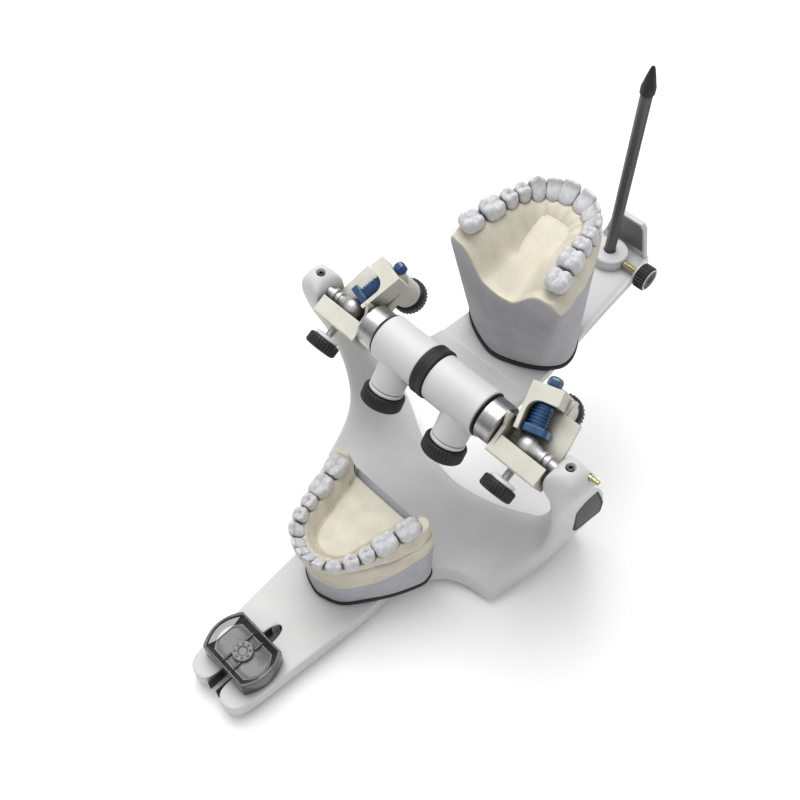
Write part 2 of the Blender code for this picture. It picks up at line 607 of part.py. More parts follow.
def housing_knobs(side):
    word = side_name(side)
    frame = housing_frame(side)
    front = along(frame, (0, -1, 0), (BALL_X + 1, 0, 0))
    make(f"front_knob_stud_{word}", turned([(2.0, 6.0), (2.0, 17.2)], front, 16), "steel", HINGE)
    make(f"front_knob_disc_{word}", turned([(6.4, 17.5), (6.4, 19.2)], front, 24), "white_plastic", HINGE)
    make(f"front_knob_{word}", knurled(8.25, 19.5, 25.0, 24, front), "black_plastic", HINGE)
    back = along(frame, (0, 0, -1), (*BACK_KNOB, 0))
    make(f"back_knob_disc_{word}", turned([(7.2, 22.9), (7.2, 25.4)], back, 24), "white_plastic", HINGE)
    make(f"back_knob_{word}", knurled(9.0, 25.7, 31.6, 24, back), "black_plastic", HINGE)


# ---------------------------------------------------------------- casts


def mirrored(half):
    """A closed loop from the right half of an outline that starts and ends on the middle."""
    right = [Vector(p) for p in half]
    return right + [Vector((-p.x, p.y)) for p in reversed(right) if p.x > 0]


def outline(half, middle, grow=0.0, count=48):
    """Points of a symmetric outline in evenly spaced directions about a middle, so that loops can be joined."""
    loop = [p - Vector((0, middle)) for p in mirrored(half)]
    points = []
    for i in range(count):
        a = 2 * math.pi * (i + 0.5) / count
        ray = Vector((math.cos(a), math.sin(a)))
        reach = 0.0
        for p, q in zip(loop, loop[1:] + loop[:1]):
            edge = q - p
            turn = ray.x * edge.y - ray.y * edge.x
            if abs(turn) > 1e-9:
                share = (p.x * ray.y - p.y * ray.x) / turn
                far = (p.x * edge.y - p.y * edge.x) / turn
                if 0 <= share <= 1 and far > reach:
                    reach = far
        points.append((ray.x * (reach + grow), ray.y * (reach + grow) + middle))
    return points


def band(row):
    """A closed band along a tooth row, given by the right half of its middle line and its half widths."""
    line = [Vector((-x, y, w)) for x, y, w in reversed(row) if x > 0] + [Vector(p) for p in row]
    outer, inner = [], []
    for i, at in enumerate(line):
        way = (line[min(i + 1, len(line) - 1)] - line[max(i - 1, 0)]).xy.normalized()
        out = Vector((way.y, -way.x)) * at.z
        outer.append(at.xy + out)
        inner.append(at.xy - out)
    return outer + inner[::-1]


def cast(jaw, origin):
    """Mounting plate, mounting stone, gums and teeth, stacked upwards."""
    spot = Matrix.Translation((0, HINGE.y, 0))
    middle = CAST_MIDDLE[jaw]
    base, stone, split, slope, gum, tips = LEVELS[jaw]
    plate = prism(outline(FEET[jaw], middle, 0.7), base, stone - GAP, spot)
    make(f"{jaw}_mounting_plate", plate, "rubber", origin)
    rim = outline(RIMS[jaw], middle)
    low = [(x, y, stone) for x, y in outline(FEET[jaw], middle)]
    high = [(x, y, split + slope * (y - middle) - GAP) for x, y in rim]
    make(f"{jaw}_mounting_stone", loft([low, high], spot), "grey_stone", origin)
    low = [(x, y, split + slope * (y - middle)) for x, y in rim]
    high = [(x, y, gum - GAP) for x, y in rim]
    solid = make(f"{jaw}_cast", loft([low, high], spot), "cream_plaster", origin)
    height, rise = FLOORS[jaw]
    inside = mirrored(TONGUE if jaw == "lower" else PALATE)
    low = [(x, y, height + rise * (y - middle)) for x, y in inside]
    high = [(x, y, gum + 5) for x, y in inside]
    combine(solid, cutter(f"{jaw}_hollow", loft([low, high], spot)), "DIFFERENCE")
    make(f"{jaw}_teeth", prism(band(ROWS[jaw]), gum, tips, spot), "tooth_stone", origin)


def main():
    for old in list(bpy.data.objects):
        bpy.data.objects.remove(old, do_unlink=True)
    lower_member()
    incisal_table()
    upper_member()
    incisal_pin()
    for side in (-1, 1):
        housing(side)
        bennett_block(side)
        protrusion_insert(side)
        housing_knobs(side)
    cast("lower", (0, LOWER_CAST_Y + HINGE.y, LEVELS["lower"][0]))
    cast("upper", HINGE)


main()
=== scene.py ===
"""Dental articulator: the visible pieces and their materials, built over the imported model.

Shapes are worked out in millimetres and become metres when a piece is made. X runs along the hinge axis,
-Y is the front, Z is up. Local coordinates of the frames and casts are measured from the hinge's middle.
"""

import json
import math

import bmesh
import bpy
from mathutils import Matrix, Vector


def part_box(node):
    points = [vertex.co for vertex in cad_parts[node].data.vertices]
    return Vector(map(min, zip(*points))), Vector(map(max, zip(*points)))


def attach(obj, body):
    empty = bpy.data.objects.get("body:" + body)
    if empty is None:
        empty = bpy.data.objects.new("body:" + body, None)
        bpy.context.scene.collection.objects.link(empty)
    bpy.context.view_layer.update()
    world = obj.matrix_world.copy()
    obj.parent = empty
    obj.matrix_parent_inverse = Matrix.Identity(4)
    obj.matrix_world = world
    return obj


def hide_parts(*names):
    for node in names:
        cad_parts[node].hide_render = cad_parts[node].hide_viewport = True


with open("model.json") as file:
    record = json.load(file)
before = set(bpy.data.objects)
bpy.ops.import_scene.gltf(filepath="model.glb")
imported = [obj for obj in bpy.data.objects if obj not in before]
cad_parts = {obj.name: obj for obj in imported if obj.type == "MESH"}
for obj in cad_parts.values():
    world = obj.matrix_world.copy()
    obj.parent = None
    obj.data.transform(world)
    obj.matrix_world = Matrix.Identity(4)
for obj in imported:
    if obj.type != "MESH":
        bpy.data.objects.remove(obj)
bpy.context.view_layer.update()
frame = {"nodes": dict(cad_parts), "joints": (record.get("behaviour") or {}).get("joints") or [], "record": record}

RECORD = frame["record"]
SLOT_OF = {s["node"]: s["material_slot"] for s in RECORD["subparts"]}
BODY_OF = {n: body for body, nodes in RECORD["behaviour"]["bodies"].items() for n in nodes}
JOINTS = {j["name"]: j for j in frame["joints"]}
HINGE = Vector(JOINTS["condylar_hinge"]["pos_m"]) * 1000
BALL_X = JOINTS["bennett_turn_right"]["pos_m"][0] * 1000
INCLINATION = math.radians(30)
BENNETT = math.radians(15)
ORIGIN = Matrix.Translation((0, HINGE.y, 0))


def node_box(node):
    low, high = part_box(node)
    return low * 1000, high * 1000


def node_middle(node):
    low, high = node_box(node)
    return (low + high) / 2


# ------------------------ materials

WHITE = (1.0, 1.0, 1.0)
LOOKS = {}


def shading(tree, kind, **values):
    """A new shader node with some of its inputs set, or linked where the value is another node's output."""
    made = tree.nodes.new(f"ShaderNode{kind}")
    for name, value in values.items():
        socket = made.inputs[name.replace("_", " ")]
        if isinstance(value, bpy.types.NodeSocket):
            tree.links.new(value, socket)
        else:
            socket.default_value = value
    return made


def ramp(tree, source, places, colours):
    """The colour output of a ramp between two colours."""
    made = shading(tree, "ValToRGB", Fac=source)
    for end, place, colour in zip(made.color_ramp.elements, places, colours):
        end.position = place
        end.color = (*colour, 1.0)
    return made.outputs["Color"]


def look(name, low, high, rough=(0.35, 0.45), patch=90.0, grain=1400.0, bump=0.1, stretch=(1, 1, 1),
         painted_crevice_shade=None, **sockets):
    """A material of two tones, with roughness that varies with them, a fine bump and painted shade: colour
    darkened in crevices by ambient occlusion.
    """
    made = bpy.data.materials.new(name)
    made.use_nodes = True
    tree = made.node_tree
    shader = tree.nodes["Principled BSDF"]
    place = shading(tree, "TexCoord").outputs["Object"]
    scaled = shading(tree, "Mapping", Vector=place, Scale=stretch).outputs["Vector"]
    noise = shading(tree, "TexNoise", Vector=scaled, Scale=patch, Detail=4).outputs["Fac"]
    colour = ramp(tree, noise, (0.35, 0.65), (low, high))
    # Painted shade: the colour is darkened where ambient occlusion finds corners, recesses and gaps between parts.
    if painted_crevice_shade:
        reach, dark = painted_crevice_shade
        shade = shading(tree, "AmbientOcclusion", Distance=reach)
        shade.samples = 8
        darker = tree.nodes.new("ShaderNodeMix")
        darker.data_type = "RGBA"
        darker.blend_type = "MULTIPLY"
        darker.inputs["Factor"].default_value = 1.0
        tree.links.new(colour, darker.inputs["A"])
        tree.links.new(ramp(tree, shade.outputs["AO"], (0.25, 0.8), (dark, WHITE)), darker.inputs["B"])
        colour = darker.outputs["Result"]
    tree.links.new(colour, shader.inputs["Base Color"])
    spread = shading(tree, "MapRange", Value=noise, To_Min=rough[0], To_Max=rough[1])
    tree.links.new(spread.outputs["Result"], shader.inputs["Roughness"])
    fine = shading(tree, "TexNoise", Vector=scaled, Scale=grain, Detail=3)
    relief = shading(tree, "Bump", Height=fine.outputs["Fac"], Strength=bump, Distance=0.0002)
    tree.links.new(relief.outputs["Normal"], shader.inputs["Normal"])
    for socket, value in sockets.items():
        shader.inputs[socket.replace("_", " ")].default_value = value
    LOOKS[name] = made
    return made


def grey(value):
    return (value, value, value)


# White paint, cream plastic, grey stone, cream plaster and tooth stone get painted shade darkening their crevices.
look("white_paint", grey(0.54), grey(0.59), (0.42, 0.52), 35, 2600, 0.08,
     painted_crevice_shade=(0.006, (0.55, 0.55, 0.56)))
look("rubber", grey(0.006), grey(0.014), (0.55, 0.75), 200, 2200, 0.35)
look("pad_rubber", grey(0.018), grey(0.028), (0.5, 0.65), 160, 1800, 0.3)
look("black_plastic", grey(0.004), grey(0.010), (0.45, 0.6), 180, 2400, 0.15)
look("white_plastic", grey(0.60), grey(0.66), (0.35, 0.45), 120, 2400, 0.06)
look("cream_plastic", (0.55, 0.54, 0.465), (0.63, 0.62, 0.54), (0.45, 0.58), 90, 1500, 0.15,
     painted_crevice_shade=(0.008, (0.20, 0.19, 0.15)))
look("blue_plastic", (0.005, 0.036, 0.10), (0.012, 0.072, 0.20), (0.14, 0.26), 150, 1500, 0.1,
     Coat_Weight=0.4)
look("steel", grey(0.34), grey(0.50), (0.26, 0.40), 60, 700, 0.12, (40, 1, 1), Metallic=1.0)
look("satin_steel", grey(0.46), grey(0.58), (0.40, 0.52), 60, 700, 0.1, (40, 1, 1), Metallic=0.85)
# Painted shade: a dark grey for the fin's front face, which faces away from the light.
look("painted_shade_grey", grey(0.13), grey(0.17), (0.42, 0.52), 35, 2600, 0.08)
look("dark_steel", grey(0.07), grey(0.13), (0.28, 0.42), 80, 900, 0.15, (1, 1, 0.1), Metallic=0.7)
look("brass", (0.40, 0.35, 0.17), (0.54, 0.48, 0.27), (0.25, 0.4), 300, 1800, 0.1, Metallic=1.0)
look("smoked_plastic", grey(0.05), grey(0.09), (0.06, 0.14), 60, 1200, 0.03,
     Transmission_Weight=0.4, IOR=1.45)
look("smoked_bowl", grey(0.13), grey(0.17), (0.22, 0.34), 90, 1200, 0.1, Transmission_Weight=0.2)
look("grey_stone", (0.37, 0.37, 0.395), (0.42, 0.42, 0.445), (0.72, 0.86), 120, 900, 0.5,
     painted_crevice_shade=(0.005, (0.45, 0.45, 0.47)))
look("cream_plaster", (0.54, 0.505, 0.415), (0.62, 0.585, 0.485), (0.62, 0.8), 110, 1100, 0.35,
     painted_crevice_shade=(0.004, (0.40, 0.36, 0.24)))
look("tooth_stone", (0.48, 0.48, 0.50), (0.60, 0.60, 0.615), (0.32, 0.5), 420, 1500, 0.2,
     painted_crevice_shade=(0.0022, (0.20, 0.20, 0.22)))

# ------------------------ making pieces


def object_from(name, bm):
    """An object from a mesh in millimetres."""
    bmesh.ops.recalc_face_normals(bm, faces=bm.faces)
    bm.transform(Matrix.Scale(0.001, 4))
    mesh = bpy.data.meshes.new(name)
    bm.to_mesh(mesh)
    bm.free()
    return linked(bpy.data.objects.new(name, mesh))


def linked(made):
    """The object, put into the scene."""
    bpy.context.scene.collection.objects.link(made)
    return made


def piece(name, bm, node, sharp=35, finish=None, tone=None):
    """A visible piece on a CAD node's body. A tone is another look in the same material slot."""
    made = object_from(name, bm)
    made.data.shade_smooth()
    made.data.set_sharp_from_angle(angle=math.radians(sharp))
    slot = finish or SLOT_OF[node]
    made.data.materials.append(LOOKS[tone or slot])
    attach(made, BODY_OF[node])
    return made


def stand_in(name, bm, node, sharp=35, finish=None, tone=None):
    """A piece that takes the place of its CAD node."""
    made = piece(name, bm, node, sharp, finish, tone)
    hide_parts(node)
    return made


def combine(target, tools, operation="DIFFERENCE"):
    """Booleans applied in turn, after which the tools are removed."""
    for tool in tools:
        step = target.modifiers.new("combine", "BOOLEAN")
        step.operation = operation
        step.object = tool
        step.solver = "EXACT"
        apply_modifiers(target)
        bpy.data.objects.remove(tool, do_unlink=True)


def apply_modifiers(target, sharp=35):
    view = bpy.context.evaluated_depsgraph_get()
    mesh = bpy.data.meshes.new_from_object(target.evaluated_get(view), depsgraph=view)
    target.modifiers.clear()
    target.data = mesh
    mesh.shade_smooth()
    mesh.set_sharp_from_angle(angle=math.radians(sharp))


def soften(target, width, segments=3, angle=30):
    """Rounds every edge sharper than an angle."""
    round_edges = target.modifiers.new("round", "BEVEL")
    round_edges.width = width * 0.001
    round_edges.segments = segments
    round_edges.limit_method = "ANGLE"
    round_edges.angle_limit = math.radians(angle)
    round_edges.use_clamp_overlap = True
    apply_modifiers(target, 180)
    flats = target.modifiers.new("flats", "WEIGHTED_NORMAL")
    flats.keep_sharp = True
    return target


def refined(node, width):
    """A CAD node's own shape with its triangles merged into faces and its edges rounded."""
    bm = bmesh.new()
    bm.from_mesh(frame["nodes"][node].data)
    bmesh.ops.remove_doubles(bm, verts=bm.verts, dist=1e-6)
    bmesh.ops.dissolve_limit(bm, angle_limit=math.radians(1.5), verts=bm.verts, edges=bm.edges)
    bm.transform(Matrix.Scale(1000, 4))
    soften(stand_in(f"{node}_shell", bm, node), width)


# ------------------------ shapes


def raised(outline, z):
    """A plan outline as points at one height."""
    return [(x, y, z) for x, y in outline]


def ring_of(bm, points):
    return [bm.verts.new(p) for p in points]


def bridge(bm, low, high):
    count = len(low)
    for i in range(count):
        j = (i + 1) % count
        bm.faces.new((low[i], low[j], high[j], high[i]))


def loft(loops, placed, into=None):
    bm = into or bmesh.new()
    rings = [ring_of(bm, [placed @ Vector(p) for p in loop]) for loop in loops]
    for low, high in zip(rings, rings[1:]):
        bridge(bm, low, high)
    bm.faces.new(rings[0])
    bm.faces.new(rings[-1])
    return bm


def prism(outline, low, high, placed=Matrix.Identity(4)):
    return loft([raised(outline, low), raised(outline, high)], placed)


def full_turn(count):
    """Equal steps of angle all the way round."""
    return [2 * math.pi * i / count for i in range(count)]


def circle(radius, count):
    return [(radius * math.cos(a), radius * math.sin(a)) for a in full_turn(count)]


def arc(radius, first, last, count, centre=(0, 0)):
    steps = [math.radians(first + (last - first) * i / (count - 1)) for i in range(count)]
    return [(centre[0] + radius * math.cos(a), centre[1] + radius * math.sin(a)) for a in steps]


def turned(profile, placed, count=48):
    """A solid of revolution about local Z through (radius, height) points."""
    return loft([raised(circle(r, count), z) for r, z in profile], placed)


def tube(profile, placed, count=48):
    """A ring: the closed (radius, height) profile turned about local Z."""
    bm = bmesh.new()
    rings = [ring_of(bm, [placed @ Vector(p) for p in raised(circle(r, count), z)]) for r, z in profile]
    for low, high in zip(rings, rings[1:] + rings[:1]):
        bridge(bm, low, high)
    return bm


def rounded(profile, size=0.35):
    """A (radius, height) profile with each of its corners cut back by a small chamfer."""
    points = [Vector(p) for p in profile]
    out = [tuple(points[0])]
    for before, here, after in zip(points, points[1:], points[2:]):
        for other in (before, after):
            reach = min(size, (other - here).length * 0.45)
            out.append(tuple(here + (other - here).normalized() * reach))
    out.append(tuple(points[-1]))
    return out


def pointing(direction, origin):
    turn = Vector(direction).to_track_quat("Z", "Y").to_matrix().to_4x4()
    return Matrix.Translation(Vector(origin)) @ turn


def side_name(side):
    return "right" if side > 0 else "left"


def hinge_frame(side):
    return Matrix.Translation(HINGE) @ Matrix.Scale(side, 4, (1, 0, 0))


def housing_frame(side):
    """Local X outwards on the hinge axis, Y back along the inclined floor, Z away from the floor."""
    return hinge_frame(side) @ Matrix.Rotation(INCLINATION, 4, "X")


def bennett_frame(side):
    return housing_frame(side) @ Matrix.Translation((BALL_X, 0, 0)) @ Matrix.Rotation(BENNETT, 4, "Z")


def along(placed, axis, centre=(0, 0, 0)):
    origin = placed @ Vector(centre)
    return pointing((placed @ (Vector(centre) + Vector(axis))) - origin, origin)


def upright(node_or_point):
    """A frame at the plan position of a node or point, its local Z the height above the floor."""
    point = node_middle(node_or_point) if isinstance(node_or_point, str) else node_or_point
    return Matrix.Translation((point[0], point[1], 0))


# ------------------------ lower frame

SOLE_Z, DECK_Z = 4.0, 14.0
SLOT_HALF = 3.5
SLOT_END_Y = -106.0
CORNER, HEAD_FIRST = 3, 7
# right half, from the middle to the top of the head: front low, front high, back high, back low corners
FRAME_SECTIONS = [
    ((3.5, -48, 4), (3.5, -48, 14), (3.5, 10, 14), (3.5, 20, 4)),
    ((24, -50, 4), (23, -49, 14), (20, 12, 13.5), (21, 23, 4)),
    ((36, -23, 4), (35, -21, 14), (37, 19, 14), (39, 31, 4)),
    ((62, -20, 4), (61, -18, 11), (50, 21.5, 29), (56, 42, 4)),
    ((68, 8, 4.5), (68, 4, 26), (58, 23, 45), (68, 46, 4.5)),
    ((75.5, 12, 42), (71, 6, 52), (61.5, 19, 60), (77.5, 48, 38)),
    ((77.5, 6, 76), (73, 0, 82), (66.5, 10, 84), (79, 34, 78)),
    ((81, -5, 100), (71, -5, 104), (69, 9, 107), (82, 13, 102)),
    ((88, -8, 118), (69.5, -9.5, 119), (69.5, 9.5, 120), (88, 9.5, 118)),
    ((83.5, -7, 131), (72, -8, 131), (72, 8, 131), (83.5, 7, 131)),
]
ARM_STATIONS = [(-64, 25.5), (-84, 24.2), (-106, 22.2), (-124, 20.6), (-140, 19.4), (-152.4, 17.5)]
BASE_CREASES = (0.75, 0.7, 0.25, 0.6)
HORN_CREASES = (0.3, 0.15, 0.3, 0.85)


def crease_line(bm, layer, verts, value):
    for a, b in zip(verts, verts[1:]):
        edge = bm.edges.get((a, b))
        if edge:
            edge[layer] = value


def frame_cage():
    """Control mesh: a band from head to head, and a forked arm to the front."""
    bm = bmesh.new()
    crease = bm.edges.layers.float.new("crease_edge")
    sections = [[(-x, y, z) for x, y, z in s] for s in reversed(FRAME_SECTIONS)] + FRAME_SECTIONS
    rings = [ring_of(bm, s) for s in sections]
    middle = len(FRAME_SECTIONS)
    left_root, right_root = middle - 2, middle + 1
    for i, (low, high) in enumerate(zip(rings, rings[1:])):
        for k in range(4):
            if k or not left_root <= i < right_root:
                bm.faces.new((low[k], low[(k + 1) % 4], high[(k + 1) % 4], high[k]))
    bm.faces.new(rings[0])
    bm.faces.new(rings[-1])
    for k in range(4):
        base = rings[middle - CORNER - 1:middle + CORNER + 1]
        crease_line(bm, crease, [r[k] for r in base], BASE_CREASES[k])
        for horn in (rings[:middle - CORNER], rings[middle + CORNER:]):
            crease_line(bm, crease, [r[k] for r in horn], HORN_CREASES[k])
    for head in (rings[:middle - HEAD_FIRST], rings[middle + HEAD_FIRST:]):
        for k in (1, 2):
            crease_line(bm, crease, [r[k] for r in head], 0.5)
    for n in (middle - CORNER - 1, middle + CORNER):
        crease_line(bm, crease, rings[n][:2], 0.95)
        outer = n + 1 if n > middle else n - 1
        crease_line(bm, crease, [rings[n][0], rings[outer][0], rings[outer][3], rings[n][3]], 0.9)
    arm_columns(bm, crease, rings[left_root:right_root + 1])
    bmesh.ops.translate(bm, vec=(0, HINGE.y, 0), verts=bm.verts)
    return bm


def arm_columns(bm, crease, root):
    rows = [([r[0] for r in root], [r[1] for r in root])]
    for y, half in ARM_STATIONS:
        xs = (-half, -SLOT_HALF, SLOT_HALF, half)
        rows.append((ring_of(bm, [(x, y, SOLE_Z) for x in xs]), ring_of(bm, [(x, y, DECK_Z) for x in xs])))
    for n, ((low_a, high_a), (low_b, high_b)) in enumerate(zip(rows, rows[1:])):
        slotted = n >= 3
        for c in range(3):
            if slotted and c == 1:
                continue
            bm.faces.new((high_a[c], high_a[c + 1], high_b[c + 1], high_b[c]))
            bm.faces.new((low_a[c], low_b[c], low_b[c + 1], low_a[c + 1]))
        for c in (0, 1, 2, 3) if slotted else (0, 3):
            bm.faces.new((low_a[c], high_a[c], high_b[c], low_b[c]))
        if n == 2:
            bm.faces.new((low_b[1], high_b[1], high_b[2], low_b[2]))
    low, high = rows[-1]
    for c in (0, 2):
        bm.faces.new((low[c], high[c], high[c + 1], low[c + 1]))
    for level in (0, 1):
        for c in (0, 3):
            crease_line(bm, crease, [row[level][c] for row in rows], 0.75)
        for c in (1, 2):
            crease_line(bm, crease, [row[level][c] for row in rows[3:]], 0.8)
        crease_line(bm, crease, [rows[3][level][1], rows[3][level][2]], 0.8)
        for c in (0, 2):
            crease_line(bm, crease, [rows[-1][level][c], rows[-1][level][c + 1]], 0.75)


PAD_CORNERS = [(-6.0, -15.5), (14.5, -19.5), (13.5, -7.8), (0.0, 21.0), (-8.0, 21.0), (-12.5, 14.0)]


def pad_frame(side):
    mount = next(m for m in RECORD["mounts"] if m["name"] == "rest_pad_face")
    z = Vector(mount["axis"])
    x = Vector((0, 0, 1)).cross(z).normalized()
    turn = Matrix((x, z.cross(x), z)).transposed().to_4x4()
    centre = Vector(mount["pos_m"]) * 1000 - z
    return Matrix.Scale(side, 4, (1, 0, 0)) @ Matrix.Translation(centre) @ turn


def pad_outline(grow):
    """The pad's outline with rounded corners."""
    round_off = 2.2
    corners = [Vector(c) + Vector(c).normalized() * grow for c in PAD_CORNERS]
    out = []
    for i, here in enumerate(corners):
        before, after = corners[i - 1], corners[(i + 1) % len(corners)]
        a = here + (before - here).normalized() * round_off
        b = here + (after - here).normalized() * round_off
        for k in range(5):
            t = k / 4
            out.append(tuple(a * (1 - t) ** 2 + here * 2 * t * (1 - t) + b * t ** 2))
    return out


def lower_frame():
    shell = stand_in("lower_frame_shell", frame_cage(), "lower_frame", 60)
    smooth = shell.modifiers.new("smooth", "SUBSURF")
    smooth.levels = smooth.render_levels = 4
    apply_modifiers(shell, 60)
    tools = []
    for side in (-1, 1):
        hinge = hinge_frame(side)
        screw = node_middle(f"pin_set_screw_{side_name(side)}")
        bore = [(2.6, 67.5), (2.6, 77)]
        tools.append(object_from("bore", turned(bore, along(hinge, (1, 0, 0)), 32)))
        rim = [(1.9, screw.z - 3), (1.9, 128.6), (2.5, 129.4), (2.9, 132)]
        tools.append(object_from("screw_hole", turned(rim, upright(screw), 32)))
        tools.append(object_from("pad_recess", prism(pad_outline(0.35), -0.7, 14, pad_frame(side))))
    tools.append(object_from("pin_hole", turned([(1.5, -0.3), (1.5, 12)], axis_pin_frame(), 24)))
    magnet = node_middle("lower_magnet")
    tools.append(object_from("magnet_recess", turned([(8.4, 9.6), (8.4, 20)], upright(magnet))))
    combine(shell, tools)


# ------------------------ small parts of the lower member


def pad(side):
    word = side_name(side)
    spot = pad_frame(side)
    border = ((0, -0.4), (0, 0.6), (-0.5, 1.0), (-1.6, 1.0), (-1.8, 0.7))
    face = ((-1.9, 0.72), (-2.1, 0.9), (-2.6, 1.0))
    border, face = ([raised(pad_outline(grow), z) for grow, z in steps] for steps in (border, face))
    stand_in(f"rest_pad_border_{word}", loft(border, spot), f"rest_pad_{word}", 40, "rubber")
    piece(f"rest_pad_face_{word}", loft(face, spot), f"rest_pad_{word}", 40)


def condyle_pin(side):
    """Ball, tapered neck and two collars on a shank."""
    ball = arc(5.0, -78, 40, 20, (0, BALL_X))
    shank = [(3.3, 60.2), (2.7, 61.9), (2.7, 62.3), (3.3, 62.7), (3.3, 64.2), (2.4, 64.6), (2.4, 65.2),
             (3.6, 65.6), (3.6, 67.2), (2.4, 67.6), (2.3, 76.5)]
    pin = turned(ball + shank, along(hinge_frame(side), (1, 0, 0)))
    node = f"condyle_pin_{side_name(side)}"
    stand_in(f"{node}_turned", pin, node, 30, tone="satin_steel")


def set_screw(side):
    """A socket screw, its hexagonal recess facing up."""
    node = f"pin_set_screw_{side_name(side)}"
    low, high = node_box(node)
    hexagon = [(0.95 / math.cos((a % (math.pi / 3)) - math.pi / 6), a) for a in full_turn(24)]
    recess = [(r * math.cos(a), r * math.sin(a)) for r, a in hexagon]
    body = circle(1.6, 24)
    loops = [raised(body, low.z), raised(body, high.z - 0.3), raised(circle(1.3, 24), high.z),
             raised(recess, high.z), raised(recess, high.z - 1.6)]
    stand_in(f"{node}_socket", loft(loops, upright(node)), node, 30)


def axis_pin_frame():
    low, high = node_box("axis_pin")
    return pointing((1, 0, 0.05), (low.x, (low.y + high.y) / 2, (low.z + high.z) / 2 - 0.15))


def axis_pin():
    """A stub on the right head with a rounded end and two grooves."""
    profile = [(1.2, 0), (1.2, 2.2), (0.95, 2.5), (0.95, 2.9), (1.2, 3.2), (1.2, 4.4), (1.0, 4.6),
               (1.0, 4.9), (1.2, 5.1), (1.2, 5.8), (0.9, 6.2), (0.45, 6.3)]
    stand_in("axis_pin_turned", turned(profile, axis_pin_frame(), 32), "axis_pin", 30)


def foot(node):
    profile = [(3.0, 0.4), (3.6, 0), (4.8, 0), (5.2, 0.5), (5.2, 3.3), (4.9, 3.7)]
    stand_in(f"{node}_moulded", turned(profile, upright(node), 40), node, 30)


def slot_shade_lining():
    """Painted shade: a thin black lining on the walls of the arm's slot, so the slot's inside looks dark."""
    end_y = HINGE.y + SLOT_END_Y
    front_y = HINGE.y + ARM_STATIONS[-1][0] + 2.0

    def wall(half, end):
        bend = [(half * math.cos(a), end - 2.6 + (half if half < 2.6 else 2.6) * math.sin(a))
                for a in [math.pi * i / 16 for i in range(17)]]
        return [(half, front_y), *bend, (-half, front_y)]

    outline = wall(3.3, end_y - 0.2) + list(reversed(wall(2.8, end_y - 0.9)))
    piece("slot_shade_lining", prism(outline, SOLE_Z + 0.6, DECK_Z - 0.5), "lower_frame", 40, "rubber")


# ------------------------ incisal table


def table_outline(grow):
    """Two straight ends joined by bowed sides."""
    count = 15
    low, high = node_box("incisal_table")
    half_x, half_y = (high.x - low.x) / 2 + grow, (high.y - low.y) / 2 + grow
    points = []
    for sign in (1, -1):
        for i in range(count):
            t = -1 + 2 * i / (count - 1)
            points.append((sign * (half_x - 4.2 * t * t), sign * t * half_y))
    return points


def incisal_table():
    """A clear block with a dark dished top, long ribs beside the slot, a rim, and a pale sheet of painted
    highlight on the rim's inner slope.
    """
    low, high = node_box("incisal_table")
    spot = upright("incisal_table")
    body = stand_in("incisal_table_body", prism(table_outline(0), low.z, high.z, spot), "incisal_table")

    def hole(name):
        return object_from(name, turned([(3.2, low.z - 2), (3.2, high.z + 2)], spot, 32))

    def shaped(steps):
        """A loft of the table's outline, each step so much larger and so far above its top."""
        return loft([raised(table_outline(grow), high.z + rise) for grow, rise in steps], spot)

    hollow = shaped(((-4.2, -5.2), (-3.4, -4.2), (-1.4, -1.0), (-1.1, 1.0)))
    combine(body, [object_from("hollow", hollow), hole("bolt_hole")])
    soften(body, 0.35, 3)
    bowl = piece("incisal_table_bowl", shaped(((-4.3, -5.1), (-3.5, -4.1), (-3.9, -4.1), (-4.6, -4.7))),
                 "incisal_table", tone="smoked_bowl")
    combine(bowl, [hole("bowl_hole")])
    # Painted highlight: a pale sheet on the inner slope of the rim where it catches the light, cut away in the
    # middle so only the two bowed sides keep it.
    rim_highlight = piece("incisal_table_rim_highlight", shaped(((-3.5, -3.9), (-1.65, -1.1), (-1.45, -1.25), (-3.3, -4.1))),
                  "incisal_table", tone="white_plastic")
    floor = high.z - 5.1
    middle = prism([(-13.6, -20), (16.2, -20), (16.2, 20), (-13.6, 20)], low.z - 2, high.z + 2, spot)
    combine(rim_highlight, [object_from("highlight_cut", middle)])
    for name, x in (("left", -3.4), ("right", 3.4)):
        for part, near, far in (("front", -9.6, -4.4), ("rear", 4.4, 9.6)):
            bar = [(x - 0.6, near), (x + 0.6, near), (x + 0.6, far), (x - 0.6, far)]
            rib = piece(f"incisal_table_rib_{name}_{part}", prism(bar, floor + 0.35, floor + 2.0, spot),
                        "incisal_table", tone="smoked_plastic")
            soften(rib, 0.3, 3)
    nut_low, nut_high = node_box("table_clamp_nut")
    nut = turned(rounded([(0.6, nut_low.z), (5.2, nut_low.z), (5.2, nut_high.z), (2.4, nut_high.z),
                          (2.2, nut_high.z - 0.8), (0.6, nut_high.z - 0.8)], 0.25), spot)
    stand_in("table_clamp_nut_cap", nut, "table_clamp_nut", 30, tone="smoked_bowl")
    for i, a in enumerate(full_turn(8)):
        pip = turned([(0.7, nut_high.z - 0.2), (0.65, nut_high.z + 0.25), (0.3, nut_high.z + 0.5)],
                     spot @ Matrix.Translation((3.7 * math.cos(a), 3.7 * math.sin(a), 0)), 16)
        piece(f"table_clamp_nut_pip_{i}", pip, "table_clamp_nut", 60, tone="smoked_bowl")
    refined("table_clamp_bolt", 0.3)


# ------------------------ upper frame

PLATE_TOP, PLATE_THICK, PLATE_END_Y = 100.0, 5.0, 146.5
TUBE_R, TUBE_HALF, RING_X, NECK_HALF = 11.6, 31.0, -1.6, 28.0
ACROSS = Matrix(((0, 0, 1, 0), (1, 0, 0, 0), (0, 1, 0, 0), (0, 0, 0, 1)))  # local XY is the YZ plane


